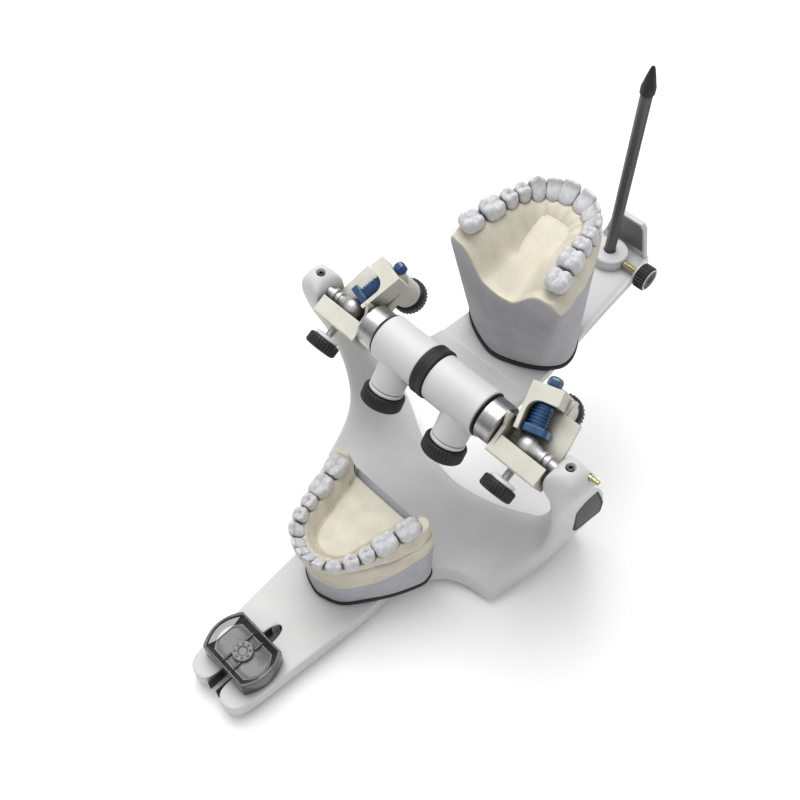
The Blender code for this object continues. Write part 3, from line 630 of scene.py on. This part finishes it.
def curve_through(points, steps, closed=False):
    """A smooth line through 2-D or 3-D points."""
    points = [Vector(p) for p in points]
    count = len(points)
    out = []
    for i in range(count if closed else count - 1):
        ends = [points[(i + k) % count] if closed else points[min(max(i + k, 0), count - 1)]
                for k in (-1, 0, 1, 2)]
        for n in range(steps):
            t = n / steps
            out.append(0.5 * ((2 * ends[1]) + (ends[2] - ends[0]) * t
                              + (2 * ends[0] - 5 * ends[1] + 4 * ends[2] - ends[3]) * t ** 2
                              + (3 * ends[1] - ends[0] - 3 * ends[2] + ends[3]) * t ** 3))
    if not closed:
        out.append(points[-1])
    return out


def plate_outline():
    waist = curve_through([(30.5, 8.0), (29.2, 18.0), (27.9, 27.0), (27.2, 36.0), (26.5, 52.0)], 5)
    taper = [(20.9, 100.0), (18.3, 126.0), (16.6, 140.0)]
    corner = [tuple(c) for c in arc(4.6, 8, 90, 7, (12.0, PLATE_END_Y - 4.6))]
    right = [tuple(p) for p in waist] + taper + corner
    return right + [(-x, y) for x, y in reversed(right)]


def neck_outline():
    """Section of the neck: the plate's end, a hollow sweep up to the tube, and down its front."""
    sweep = curve_through([(34.0, PLATE_TOP), (27.0, 101.4), (20.5, 105.4), (15.0, 111.0), (9.0, 118.0)], 5)
    return [(34.0, PLATE_TOP - PLATE_THICK), *[tuple(p) for p in sweep], (-6.0, 118.0), (-7.5, 110.0),
            (-1.0, 101.0), (3.0, 97.6), (8.0, PLATE_TOP - PLATE_THICK)]


def tube_knob_frame(side):
    joint = JOINTS[f"tube_clamp_turn_{side_name(side)}"]
    return pointing(joint["axis"], Vector(joint["pos_m"]) * 1000)


def upper_frame():
    plate = prism(plate_outline(), PLATE_TOP - PLATE_THICK, PLATE_TOP, ORIGIN)
    shell = stand_in("upper_frame_shell", plate, "upper_frame")
    axis = along(hinge_frame(1), (1, 0, 0))
    pin = upright("incisal_pin")
    stand = Matrix.Translation((0, PLATE_END_Y + HINGE.y, 0)) @ Matrix.Rotation(math.pi / 2, 4, "X")
    fin = [(-14.2, 98.0), (14.2, 98.0), (12.6, 103.6), (9.4, 117.4), (7.2, 119.8), (-7.2, 119.8),
           (-9.4, 117.4), (-12.6, 103.6)]
    joined = [
        prism(neck_outline(), -NECK_HALF, NECK_HALF, ORIGIN @ ACROSS),
        turned([(9.5, PLATE_TOP - 2), (9.5, 106.1), (8.9, 106.7)], pin, 64),
        prism(fin, 0.2, 3.2, stand),
    ]
    combine(shell, [object_from(f"joined_{i}", bm) for i, bm in enumerate(joined)], "UNION")
    groove = [(r, RING_X + x) for r,
              x in ((TUBE_R - 1.2, -3.7), (13.0, -3.7), (13.0, 3.7), (TUBE_R - 1.2, 3.7))]
    bore = [(TUBE_R - 0.6, -TUBE_HALF - 9), (TUBE_R - 0.6, TUBE_HALF + 9)]
    lock = node_middle("pin_lock_screw")
    magnet = node_middle("upper_magnet")
    cuts = [
        turned([(3.2, 80), (3.2, 120)], pin, 48),
        turned([(1.9, 0), (1.9, 14)], pointing((1, 0, 0), (0, lock.y, lock.z)), 32),
        tube(groove, axis, 96),
        turned(bore, axis, 96),
        turned([(8.4, 90), (8.4, 96.4)], upright(magnet), 48),
    ]
    combine(shell, [object_from(f"cut_{i}", bm) for i, bm in enumerate(cuts)])
    soften(shell, 0.5, 3, 38)
    # Painted shade: a dark grey sheet over the fin's front face, which faces away from the light.
    face = [(-11.4, 104.0), (11.4, 104.0), (8.5, 116.6), (6.6, 118.6), (-6.6, 118.6), (-8.5, 116.6)]
    piece("upper_frame_fin_shade", prism(face, 3.0, 3.5, stand), "upper_frame", tone="painted_shade_grey")
    for side in (-1, 1):
        word = side_name(side)
        near = side * RING_X
        half = [(TUBE_R - 1.2, near + 0.05), (TUBE_R - 1.2, near + 3.7), (TUBE_R - 0.3, near + 3.7),
                (TUBE_R, near + 4), (TUBE_R, TUBE_HALF - 0.6), (TUBE_R - 0.6, TUBE_HALF), (8.7, TUBE_HALF),
                (8.4, TUBE_HALF - 0.3), (8.4, TUBE_HALF - 5)]
        piece(f"upper_frame_tube_{word}", turned(half, along(hinge_frame(side), (1, 0, 0)), 128),
              "upper_frame", 30)
        boss = [(9.6, 4.0), (9.2, 8.0), (8.7, 12.0), (8.5, 16.0), (8.4, 20.9), (7.9, 21.4)]
        piece(f"upper_frame_boss_{word}", turned(boss, tube_knob_frame(side), 64), "upper_frame", 30)


def upper_fittings():
    axis = along(hinge_frame(1), (1, 0, 0))
    ring = [(10.8, -3.4), (12.2, -3.4), (12.7, -2.9), (12.7, -1.0), (12.45, -0.7), (12.45, 0.7), (12.7, 1.0),
            (12.7, 2.9), (12.2, 3.4), (10.8, 3.4)]
    ring = [(r, RING_X + z) for r, z in ring]
    stand_in("centre_ring_grooved", tube(ring, axis, 96), "centre_ring", 40)
    for side in (-1, 1):
        word = side_name(side)
        end = along(hinge_frame(side), (1, 0, 0))
        stub = [(8.0, 26.4), (8.0, 32.4), (10.1, 32.4), (10.4, 32.8), (10.4, 40.9), (9.9, 41.4), (7.4, 41.4),
                (7.2, 41.2)]
        stand_in(f"stub_shaft_turned_{word}", turned(stub, end, 72), f"stub_shaft_{word}", 30)
        seal = [(8.4, 31.3), (11.1, 31.3), (11.2, 31.5), (11.0, 31.8), (8.4, 31.8)]
        stand_in(f"tube_end_seal_lip_{word}", tube(seal, end, 72), f"tube_end_seal_{word}", 40)
        spot = tube_knob_frame(side)
        collar = rounded([(2.0, 21.7), (8.6, 21.7), (8.6, 23.4), (2.0, 23.4)], 0.3)
        stand_in(f"tube_knob_collar_disc_{word}", turned(collar, spot), f"tube_knob_collar_{word}", 30)
        knob(f"tube_knob_{word}", spot, 10.5, 23.7, 30.6, 34)


# ------------------------ knobs


def knob(node, spot, radius, low, high, teeth):
    """A black knob with a knurled rim and a white ring let into its face."""
    def rim(r, z, depth):
        reach = [(r - depth * (i % 4 >= 2), a) for i, a in enumerate(full_turn(4 * teeth))]
        return [(r * math.cos(a), r * math.sin(a), z) for r, a in reach]

    face = [(0.90, 0.0), (0.89, -0.45), (0.77, -0.45), (0.74, 0.0), (0.30, 0.0), (0.26, -0.4), (0.05, -0.4)]
    loops = [rim(radius - 1.4, low, 0), rim(radius - 0.7, low, 0), rim(radius, low + 0.7, 0.45),
             rim(radius, high - 0.7, 0.45), rim(radius - 0.7, high, 0)]
    loops += [rim(radius * r, high + z, 0) for r, z in face]
    stand_in(f"{node}_knurled", loft(loops, spot), node, 32)
    inlay = [(0.775, -0.4), (0.885, -0.4), (0.88, 0.2), (0.86, 0.3), (0.80, 0.3), (0.78, 0.2)]
    ring = tube([(radius * r, high + z) for r, z in inlay], spot)
    piece(f"{node}_ring", ring, node, 30, "white_plastic")


def disc(node, spot, radius, low, high):
    profile = rounded([(1.8, low), (radius, low), (radius, high), (1.8, high)], 0.35)
    stand_in(f"{node}_rounded", turned(profile, spot), node, 30)


def threaded(radius, low, high, pitch=0.9, depth=0.22):
    """The (radius, height) profile of a screw's ridges."""
    profile = [(radius - depth, low)]
    count = int((high - low) / pitch)
    for i in range(count):
        z = low + (i + 0.5) * pitch
        profile += [(radius, z - 0.12 * pitch), (radius, z + 0.12 * pitch),
                    (radius - depth, z + 0.5 * pitch)]
    return profile + [(radius - depth, high)]


def incisal_pin():
    """A fluted rod, its pointed tip, and the screw that locks it."""
    spot = upright("incisal_pin")
    low, high = node_box("incisal_pin")
    flutes = 6

    def section(z, shrink=0.0, depth=0.55):
        points = []
        for a in full_turn(96):
            turn = (flutes * (a - math.radians(14.45))) % (2 * math.pi)
            hollow = math.exp(-((turn - math.pi) / 0.85) ** 2)
            r = 2.9 - shrink - depth * hollow
            points.append((r * math.cos(a), r * math.sin(a), z))
        return points

    levels = [(low.z, 0.5, 0.0), (low.z + 0.6, 0, 0.0), (low.z + 16.5, 0, 0.0), (low.z + 18.5, 0, 0.55),
              (high.z - 1.6, 0, 0.55), (high.z - 0.4, 0, 0.0), (high.z, 0.2, 0.0)]
    rod = loft([section(z, shrink, depth) for z, shrink, depth in levels], spot)
    stand_in("incisal_pin_fluted", rod, "incisal_pin", 30)
    foot_z, tip_z = (b.z for b in node_box("incisal_pin_tip"))
    cone = [(3.0, foot_z), (3.5, foot_z + 0.4), (3.5, foot_z + 3.6), (3.2, foot_z + 4.6),
            (2.3, foot_z + 8.6), (1.5, tip_z - 2.4), (1.35, tip_z - 1.8), (0.9, tip_z - 0.5), (0.4, tip_z)]
    stand_in("incisal_pin_tip_turned", turned(cone, spot), "incisal_pin_tip", 30)
    joint = JOINTS["pin_lock_turn"]
    origin = Vector(joint["pos_m"]) * 1000
    lock = pointing(joint["axis"], (0, origin.y, origin.z))
    screw_low, screw_high = node_box("pin_lock_screw")
    stand_in("pin_lock_screw_thread", turned(threaded(1.6, screw_low.x, screw_high.x), lock, 32),
             "pin_lock_screw",
          30)
    disc("pin_lock_collar", lock, 4.4, 18.3, 19.6)
    knob("pin_lock_knob", lock, 6.6, 19.9, 26.2, 24)


# ------------------------ condylar housings


def blue_insert(side):
    """The flanged stop with its ribbed sleeve, and the key with a cross-slotted six-sided head."""
    word = side_name(side)
    placed = bennett_frame(side)
    axis = along(placed, (0, 1, 0))
    node = f"protrusion_insert_{word}"
    ribs = [(2.9, 7.6), (4.3, 7.6)]
    for i in range(6):
        z = 8.6 + 1.55 * i
        ribs += [(4.2, z), (4.8, z + 0.35), (4.8, z + 0.85), (4.2, z + 1.2)]
    ribs += [(4.5, 18.6), (4.2, 19.4), (2.9, 19.4), (2.6, 18.9)]
    stand_in(f"{node}_sleeve", turned(ribs, axis), node, 28)
    plate = [(-5.0, -5.0), (6.9, -5.0), (6.9, 3.6), (5.2, 5.6), (-3.6, 5.6), (-5.0, 4.2)]
    flange = piece(f"{node}_flange", prism([(x, -y) for x, y in plate], 5.5, 9.0, axis_flat(placed)), node)
    soften(flange, 0.45, 3)
    lip = [(-4.4, 4.6), (6.4, 4.6), (6.4, 6.0), (-4.4, 6.0)]
    soften(piece(f"{node}_lip", prism(lip, 6.4, 9.3, axis_flat(placed)), node), 0.4, 3)
    node = f"protrusion_key_{word}"
    stand_in(f"{node}_stem", turned([(1.9, 13.0), (1.9, 26.6), (2.2, 27.6)], axis, 32), node, 30)
    profile = [(2.4, 27.3), (3.1, 27.9), (3.6, 28.6), (3.6, 30.6), (2.9, 31.9), (2.0, 32.4)]
    head = piece(f"{node}_head", turned(profile, axis, 6), node)
    slots = [prism([(-u, -v), (u, -v), (u, v), (-u, v)], 31.2, 34, axis)
             for u, v in ((2.4, 0.45), (0.45, 2.4))]
    combine(head, [object_from(f"slot_{i}", bm) for i, bm in enumerate(slots)])
    soften(head, 0.22, 2, 25)


def axis_flat(placed):
    """Local X across the block, Z along it, Y towards the floor."""
    return placed @ Matrix.Rotation(-math.pi / 2, 4, "X")


def housing_knobs(side):
    word = side_name(side)
    placed = housing_frame(side)
    front = along(placed, (0, -1, 0), (BALL_X + 1, 0, 0))
    node = f"front_knob_stud_{word}"
    stand_in(f"{node}_thread", turned(threaded(2.0, 6.0, 17.2), front, 32), node, 30)
    disc(f"front_knob_disc_{word}", front, 6.4, 17.5, 19.2)
    knob(f"front_knob_{word}", front, 8.25, 19.5, 25.0, 28)
    back = along(placed, (0, 0, -1), (50.0, 21.9, 0))
    disc(f"back_knob_disc_{word}", back, 7.2, 22.9, 25.4)
    knob(f"back_knob_{word}", back, 9.0, 25.7, 31.6, 30)


# ------------------------ casts and teeth

# tooth kinds: squareness of the outline, how thin the crown gets towards its edge, how far that edge moves
# outwards, cusps (u, v, height) with u along the arch and v outwards from -1 to 1, depth of the grooves
KINDS = {
    "molar": (3.0, 0.84, 0.2, ((-0.5, 0.5, 1.5), (0.5, 0.48, 1.4), (-0.48, -0.5, 1.35), (0.5, -0.5, 1.2)),
              0.6),
    "premolar": (2.5, 0.78, 0.2, ((0.0, 0.5, 1.7), (0.0, -0.5, 1.2)), 0.55),
    "canine": (2.2, 0.42, 0.6, ((0.0, 0.2, 1.9),), 0.0),
    "incisor": (3.2, 0.28, 0.8, ((-0.6, 0.5, 0.35), (0.0, 0.5, 0.4), (0.6, 0.5, 0.35)), 0.0),
}
# per jaw, from the back tooth to the middle: kind, x, y, tip height, width, depth, crown height
TEETH = {
    "lower": [
        ("molar", 24.9, -42.5, 66.8, 12.6, 11.0, 6.6), ("molar", 22.2, -55.3, 66.4, 12.6, 11.0, 6.8),
        ("premolar", 20.1, -65.1, 66.0, 8.0, 8.6, 7.0), ("premolar", 17.8, -72.8, 65.8, 7.8, 8.2, 7.2),
        ("canine", 12.9, -79.2, 66.6, 7.8, 7.8, 8.4), ("incisor", 6.9, -83.0, 66.0, 5.8, 6.6, 7.6),
        ("incisor", 2.2, -84.2, 66.0, 4.8, 6.2, 7.6),
    ],
    "upper": [
        ("molar", 25.1, 47.1, 171.6, 10.8, 11.4, 6.8), ("molar", 22.8, 57.9, 174.2, 11.0, 11.8, 7.4),
        ("premolar", 21.0, 67.1, 175.2, 7.8, 9.6, 7.8), ("premolar", 19.3, 74.3, 175.4, 7.4, 9.2, 8.2),
        ("canine", 15.6, 80.8, 175.8, 8.4, 8.6, 9.6), ("incisor", 10.4, 85.9, 175.2, 7.6, 7.4, 9.2),
        ("incisor", 4.3, 88.6, 176.0, 9.0, 7.8, 10.0),
    ],
}
HEELS = {"lower": (27.6, -35.4, 63.6), "upper": (25.6, 42.6, 160.0)}
# right half of each cast's rim, from the front round the heel to the middle of the rear
RIMS = {
    "lower": [(0, -87), (6, -86.2), (12, -83), (17.2, -77.2), (22.4, -68.6), (27.6, -57.2), (30.8, -47.0),
              (32.0, -40.0), (31.4, -35.4), (28.5, -32.6), (26.0, -33.0), (23.0, -34.4), (19.0, -36.2),
              (12.0, -36.8), (0, -36.8)],
    "upper": [(0, 93.5), (8, 92.6), (15, 88.8), (20.8, 82.5), (26.0, 73.0), (30.2, 61.5), (32.6, 50.0),
              (33.0, 45.0), (31.4, 41.0), (27.0, 39.2), (19.0, 38.8), (9.0, 38.8), (0, 38.8)],
}
# right half of each stone's outline on its mounting plate
FEET = {
    "lower": [(0, -82.3), (6, -81), (11, -79), (15.1, -75.7), (21, -67.4), (28.2, -56.3), (34, -43),
              (34.5, -38), (33, -33.6), (29, -31.6), (18, -31.6), (9, -31.6), (0, -31.6)],
    "upper": [(0, 91.5), (8, 90.4), (15.5, 85.6), (22.2, 77.7), (26.8, 71.2), (29.6, 63.5), (28.8, 56.5),
              (22.6, 49.3), (12, 43.3), (0, 40)],
}
CENTRES = {"lower": (0.0, -58.0), "upper": (0.0, 66.0)}


def arch_of(jaw):
    """Half of the arch's centre line, from the middle to behind the last tooth, with its gum heights."""
    row = TEETH[jaw]
    front = row[-1]
    forward = -0.5 if jaw == "lower" else 0.5
    points = [(0.0, front[2] + forward, front[3] - front[6])]
    points += [(x, y, tip - crown) for _, x, y, tip, _, _, crown in reversed(row)]
    return curve_through([*points, HEELS[jaw]], 8)


def nearest(jaw, arch, x, y):
    """Distance from the arch's line, negative inside it, and the gum's height there."""
    at = min(range(len(arch)), key=lambda i: (arch[i].x - x) ** 2 + (arch[i].y - y) ** 2)
    away = Vector((x - arch[at].x, y - arch[at].y))
    a, b = arch[max(at - 1, 0)], arch[min(at + 1, len(arch) - 1)]
    way = Vector((b.x - a.x, b.y - a.y)).normalized()
    inside = (way.x * away.y - way.y * away.x) * (1 if jaw == "lower" else -1) > 0
    tooth = min(TEETH[jaw], key=lambda t: (t[1] - arch[at].x) ** 2 + (t[2] - arch[at].y) ** 2)
    off = math.hypot(tooth[1] - arch[at].x, tooth[2] - arch[at].y) / (tooth[4] / 2)
    return away.length * (-1 if inside else 1), arch[at].z + 1.1 * min(off, 1.0) ** 2 - 0.3


def ease(t):
    t = min(max(t, 0.0), 1.0)
    return t * t * (3 - 2 * t)


def bell(t):
    return math.exp(-t * t)


def gum_height(jaw, arch, x, y):
    """Height of the cast's modelled surface."""
    gap, crest = nearest(jaw, arch, abs(x), y)
    if gap < 0:
        if jaw == "lower":
            floor, near, far = 51.4 + 2.4 * ease((y + 75) / 35), 3.4, 8.0
            floor -= 0.9 * bell((gap + 8.0) / 1.1)
        else:
            # the palate rises from the rear edge towards the front teeth, with a low swelling in its middle
            floor, near, far = 145.0 + 6.0 * ease((y - 38.8) / 17) + 5.0 * ease((y - 50) / 44), 3.4, 18.0
            floor += 4.5 * ease(abs(x) / 22) * (1 - ease((y - 38.8) / 26))
            floor += 0.7 * ease(1.8 * (1.15 - math.hypot((x - 2) / 13, (y - 53) / 11)))
        return crest + (floor - crest) * ease((-gap - near) / (far - near))
    if jaw == "lower":
        return crest - 4.5 * ease((gap - 4.0) / 2.6)
    return crest - 8.0 * ease((gap - 3.8) / 5.0)


def mirrored(half):
    """A closed smooth loop from the right half of an outline that starts and ends on the middle."""
    points = [Vector(p) for p in half]
    return curve_through([*points, *[Vector((-p.x, p.y)) for p in reversed(points) if p.x]], 5, True)


def reaches(loop, centre, count):
    """How far a closed loop is from a centre in each of many directions."""
    out = []
    for a in full_turn(count):
        ray = Vector((math.cos(a), math.sin(a)))
        reach = 0.0
        for p, q in zip(loop, loop[1:] + loop[:1]):
            p, q = Vector(p) - Vector(centre), Vector(q) - Vector(centre)
            edge = q - p
            cross = ray.x * edge.y - ray.y * edge.x
            if abs(cross) > 1e-9:
                t = (p.x * edge.y - p.y * edge.x) / cross
                u = (p.x * ray.y - p.y * ray.x) / cross
                if t > 0 and -1e-6 <= u <= 1 + 1e-6:
                    reach = max(reach, t)
        out.append((ray, reach))
    return out


def split_height(jaw, x, y, rim):
    """Height of the line between the cream and the grey."""
    if jaw == "lower":
        low = 34.0 + 16.0 * ease((y + 70) / 36) + 4.0 * ease((24 - abs(x)) / 4) * ease((y + 45) / 8)
    else:
        low = rim - 1.5 - 1.5 * ease((y - 45) / 20)
    return min(low, rim - 1.2)


# wall of each cast from its rim down: how far towards the stone's outline, how far out, and how far down,
# counted to the groove over the lower cast's lip up to 1 and from there to the split up to 2
WALLS = {
    "lower": [(0, 0.5, 0.25), (0.2, 0.5, 0.55), (0.75, -0.6, 0.85), (1, -1.3, 1), (1, 0.6, 1.07),
              (1, 1.1, 1.2), (1, 0.9, 1.96), (1, 0.7, 2), (1, -5, 2)],
    "upper": [(0, 0.15, 0.08), (0, 0.25, 0.3), (0, 0.3, 1), (0, 0.3, 1.65), (0, 0.3, 1.97), (0, 0.2, 2),
              (0, -4, 2)],
}


def triangulated_ends(bm):
    bmesh.ops.triangulate(bm, faces=[f for f in bm.faces if len(f.verts) > 4])
    return bm


def cast(jaw):
    """Cream gums and palate over a grey mounting stone."""
    arch = arch_of(jaw)
    count, steps = 224, 52
    centre = CENTRES[jaw]
    around = reaches(mirrored(RIMS[jaw]), centre, count)
    feet = reaches(mirrored(FEET[jaw]), centre, count)

    def spot(ray, reach, z):
        return (centre[0] + ray.x * reach, centre[1] + ray.y * reach, z)

    def surface(part):
        flat = [spot(ray, reach * part, 0) for ray, reach in around]
        return [(x, y, gum_height(jaw, arch, x, y)) for x, y, _ in flat]

    top = [surface(k / steps) for k in range(1, steps + 1)]
    rim = top[-1]
    split = [split_height(jaw, *p) for p in rim]
    slack = [ease((p[2] - low) / 6) for p, low in zip(rim, split)]
    walls = []
    for blend, out, down in WALLS[jaw]:
        loop = []
        for (ray, reach), (_, foot), (x, y, z), low, k in zip(around, feet, rim, split, slack):
            groove = (z + low) / 2
            if jaw == "lower":
                groove = min(51.5 + 4 * ease((y + 60) / 22), low + 0.8 * (z - low))
            height = z + (groove - z) * down if down <= 1 else groove + (low - groove) * (down - 1)
            loop.append(spot(ray, reach + (foot - reach) * blend * k + out * (k if out > -2 else 1), height))
        walls.append(loop)
    gums = triangulated_ends(loft([*top, *walls], ORIGIN))
    stand_in(f"{jaw}_gums", gums, f"{jaw}_cast", 50)
    base = node_box(f"{jaw}_mounting_stone")[0].z
    loops = []
    for down, cut in ((0.0, 0.8), (0.0, 0.3), (0.02, 0.0), (0.3, 0.0), (0.6, 0.0), (0.85, 0.0), (0.97, 0.0),
                      (0.995, 0.25), (1.0, 0.7), (0.7, 14.0)):
        loop = []
        for (ray, reach), (_, foot), low, k in zip(around, feet, split, slack):
            upper_edge = foot + 0.7 * k if jaw == "lower" else reach + 0.2
            loop.append(spot(ray, foot + (upper_edge - foot) * down - cut,
                             base + (low - 0.04 - base) * down))
        loops.append(loop)
    block = triangulated_ends(loft(loops, ORIGIN))
    stand_in(f"{jaw}_stone", block, f"{jaw}_mounting_stone", 50)


def crown(kind, width, depth, height):
    """A tooth about local Z, its gum end at zero; local X along the arch, Y outwards."""
    squareness, thin, shift, cusps, groove = KINDS[kind]
    count, rings = 56, 13
    half_x, half_y = width / 2 - 0.04, depth / 2
    angles = full_turn(count)

    def edge(a, fullness):
        flat = half_y * (thin + (1 - thin) * fullness)
        wide = half_x * (0.96 + 0.04 * fullness)
        across, out = math.cos(a), math.sin(a)
        r = (abs(across / wide) ** squareness + abs(out / flat) ** squareness) ** (-1 / squareness)
        return r * across, r * out + (half_y - flat) * shift

    def rise(x, y, part):
        u, v = x / half_x, y / half_y
        z = height - 1.7 + sum(h * bell(math.hypot(u - cu, v - cv) / 0.34) for cu, cv, h in cusps)
        lengthwise = bell((v + 0.06 * math.sin(5 * u)) / 0.13)
        crosswise = bell((u + 0.05 * math.sin(4 * v)) / 0.12)
        return z - groove * (lengthwise + 0.8 * crosswise) - part ** 6

    loops = []
    for k in range(1, rings + 1):
        part = k / rings
        ring = [edge(a, 0.0) for a in angles]
        middle = (half_y * (1 - thin)) * shift
        ring = [(x * part, middle + (y - middle) * part) for x, y in ring]
        loops.append([(x, y, rise(x, y, part)) for x, y in ring])
    brim = [p[2] for p in loops[-1]]
    for share, swell in ((0.90, 1.03), (0.74, 1.05), (0.56, 1.05), (0.38, 1.02), (0.2, 0.97), (0.0, 0.90),
                         (-0.22, 0.82)):
        full = ease(1.1 * (1 - share))
        sides = [edge(a, full) for a in angles]
        loops.append([(x * swell, y * swell, z * share) for (x, y), z in zip(sides, brim)])
    return loops


def teeth(jaw):
    """Fourteen crowns along the arch, joined into one piece."""
    bm = bmesh.new()
    row = TEETH[jaw]
    middle_y = -52 if jaw == "lower" else 56
    for i, (kind, x, y, tip, width, depth, height) in enumerate(row):
        before, after = row[max(i - 1, 0)], row[min(i + 1, len(row) - 1)]
        end_x = -after[1] if i == len(row) - 1 else after[1]
        way = Vector((end_x - before[1], after[2] - before[2]))
        for side in (-1, 1):
            tangent = Vector((way.x * side, way.y, 0)).normalized()
            outward = Vector((tangent.y, -tangent.x, 0))
            if outward.dot(Vector((x * side, y - middle_y, 0))) < 0:
                outward = -outward
            lean = Vector((0, 0, 1)) + outward * (0.16 if kind in ("incisor", "canine") else -0.05)
            turn = Matrix((tangent, outward, lean)).transposed().to_4x4()
            loft(crown(kind, width, depth, height),
                 Matrix.Translation((x * side, y + HINGE.y, tip - height)) @ turn, bm)
    stand_in(f"{jaw}_tooth_row", bm, f"{jaw}_teeth", 60)


def mounting_plate(jaw):
    """A thin plate that follows its stone's outline."""
    node = f"{jaw}_mounting_plate"
    low, high = node_box(node)
    centre = CENTRES[jaw]
    around = reaches(mirrored(FEET[jaw]), centre, 160)
    levels = ((-9.0, low.z), (0.2, low.z), (0.6, low.z + 0.3), (0.7, (low.z + high.z) / 2),
              (0.6, high.z - 0.3), (0.2, high.z), (-9.0, high.z))
    plate = loft([[(centre[0] + ray.x * (reach + out), centre[1] + ray.y * (reach + out), z)
                   for ray, reach in around] for out, z in levels], ORIGIN)
    stand_in(f"{node}_edge", plate, node, 30)


# ------------------------ stage


def camera():
    """Above the right front corner, looking down at the hinge."""
    azimuth, elevation, roll = math.radians(45.55), math.radians(54.6), math.radians(-0.4)
    back = Vector((math.sin(azimuth) * math.cos(elevation), -math.cos(azimuth) * math.cos(elevation),
                   math.sin(elevation)))
    level = Vector((math.cos(azimuth), math.sin(azimuth), 0))
    over = back.cross(level)
    right = level * math.cos(roll) + over * math.sin(roll)
    up = over * math.cos(roll) - level * math.sin(roll)
    eye = Vector((-26.7, 3.5 + HINGE.y, 71.4)) * 0.001 + back * 0.5044
    made = bpy.data.objects.new("camera", bpy.data.cameras.new("camera"))
    made.data.lens = 44.86
    made.data.clip_start = 0.01
    made.matrix_world = Matrix.Translation(eye) @ Matrix((right, up, back)).transposed().to_4x4()
    bpy.context.scene.camera = linked(made)


def lamp(name, place, power, size):
    light = bpy.data.lights.new(name, "AREA")
    light.energy = power
    light.size = size
    made = bpy.data.objects.new(name, light)
    made.location = place
    made.rotation_euler = (Vector(place) - Vector((0, 0, 0.05))).to_track_quat("Z", "Y").to_euler()
    linked(made)


def sky():
    """A studio dome, bright overhead and dim at the horizon."""
    world = bpy.data.worlds.new("studio")
    world.use_nodes = True
    tree = world.node_tree
    place = tree.nodes.new("ShaderNodeTexCoord")
    parts = tree.nodes.new("ShaderNodeSeparateXYZ")
    ramp = tree.nodes.new("ShaderNodeValToRGB")
    for end, at, value in zip(ramp.color_ramp.elements, (0.05, 0.9), (0.13, 1.0)):
        end.position = at
        end.color = (value, value, value, 1.0)
    tree.links.new(place.outputs["Generated"], parts.inputs["Vector"])
    tree.links.new(parts.outputs["Z"], ramp.inputs["Fac"])
    tree.links.new(ramp.outputs["Color"], tree.nodes["Background"].inputs["Color"])
    tree.nodes["Background"].inputs["Strength"].default_value = 1.0
    return world


def stage():
    bm = bmesh.new()
    bmesh.ops.create_grid(bm, x_segments=1, y_segments=1, size=4.0)
    mesh = bpy.data.meshes.new("floor")
    bm.to_mesh(mesh)
    bm.free()
    mesh.materials.append(look("floor", grey(0.95), grey(0.97), (0.8, 0.9), 2, 300, 0.02))
    floor = bpy.data.objects.new("floor", mesh)
    floor.location.z = -0.0002
    linked(floor)
    bpy.context.scene.world = sky()
    lamp("key", (-0.42, 0.22, 1.25), 13, 1.0)
    lamp("fill", (0.9, -0.9, 0.9), 0.5, 1.2)
    bpy.context.scene.view_settings.view_transform = "Standard"


def main():
    lower_frame()
    slot_shade_lining()
    incisal_table()
    upper_frame()
    upper_fittings()
    incisal_pin()
    axis_pin()
    for side in (-1, 1):
        pad(side)
        condyle_pin(side)
        set_screw(side)
        refined(f"housing_{side_name(side)}", 0.5)
        refined(f"bennett_block_{side_name(side)}", 0.5)
        blue_insert(side)
        housing_knobs(side)
    for node in sorted(frame["nodes"]):
        if node.startswith("foot_"):
            foot(node)
    for jaw in ("lower", "upper"):
        cast(jaw)
        teeth(jaw)
        mounting_plate(jaw)
        refined(f"{jaw}_magnet", 0.3)
    camera()
    stage()


main()
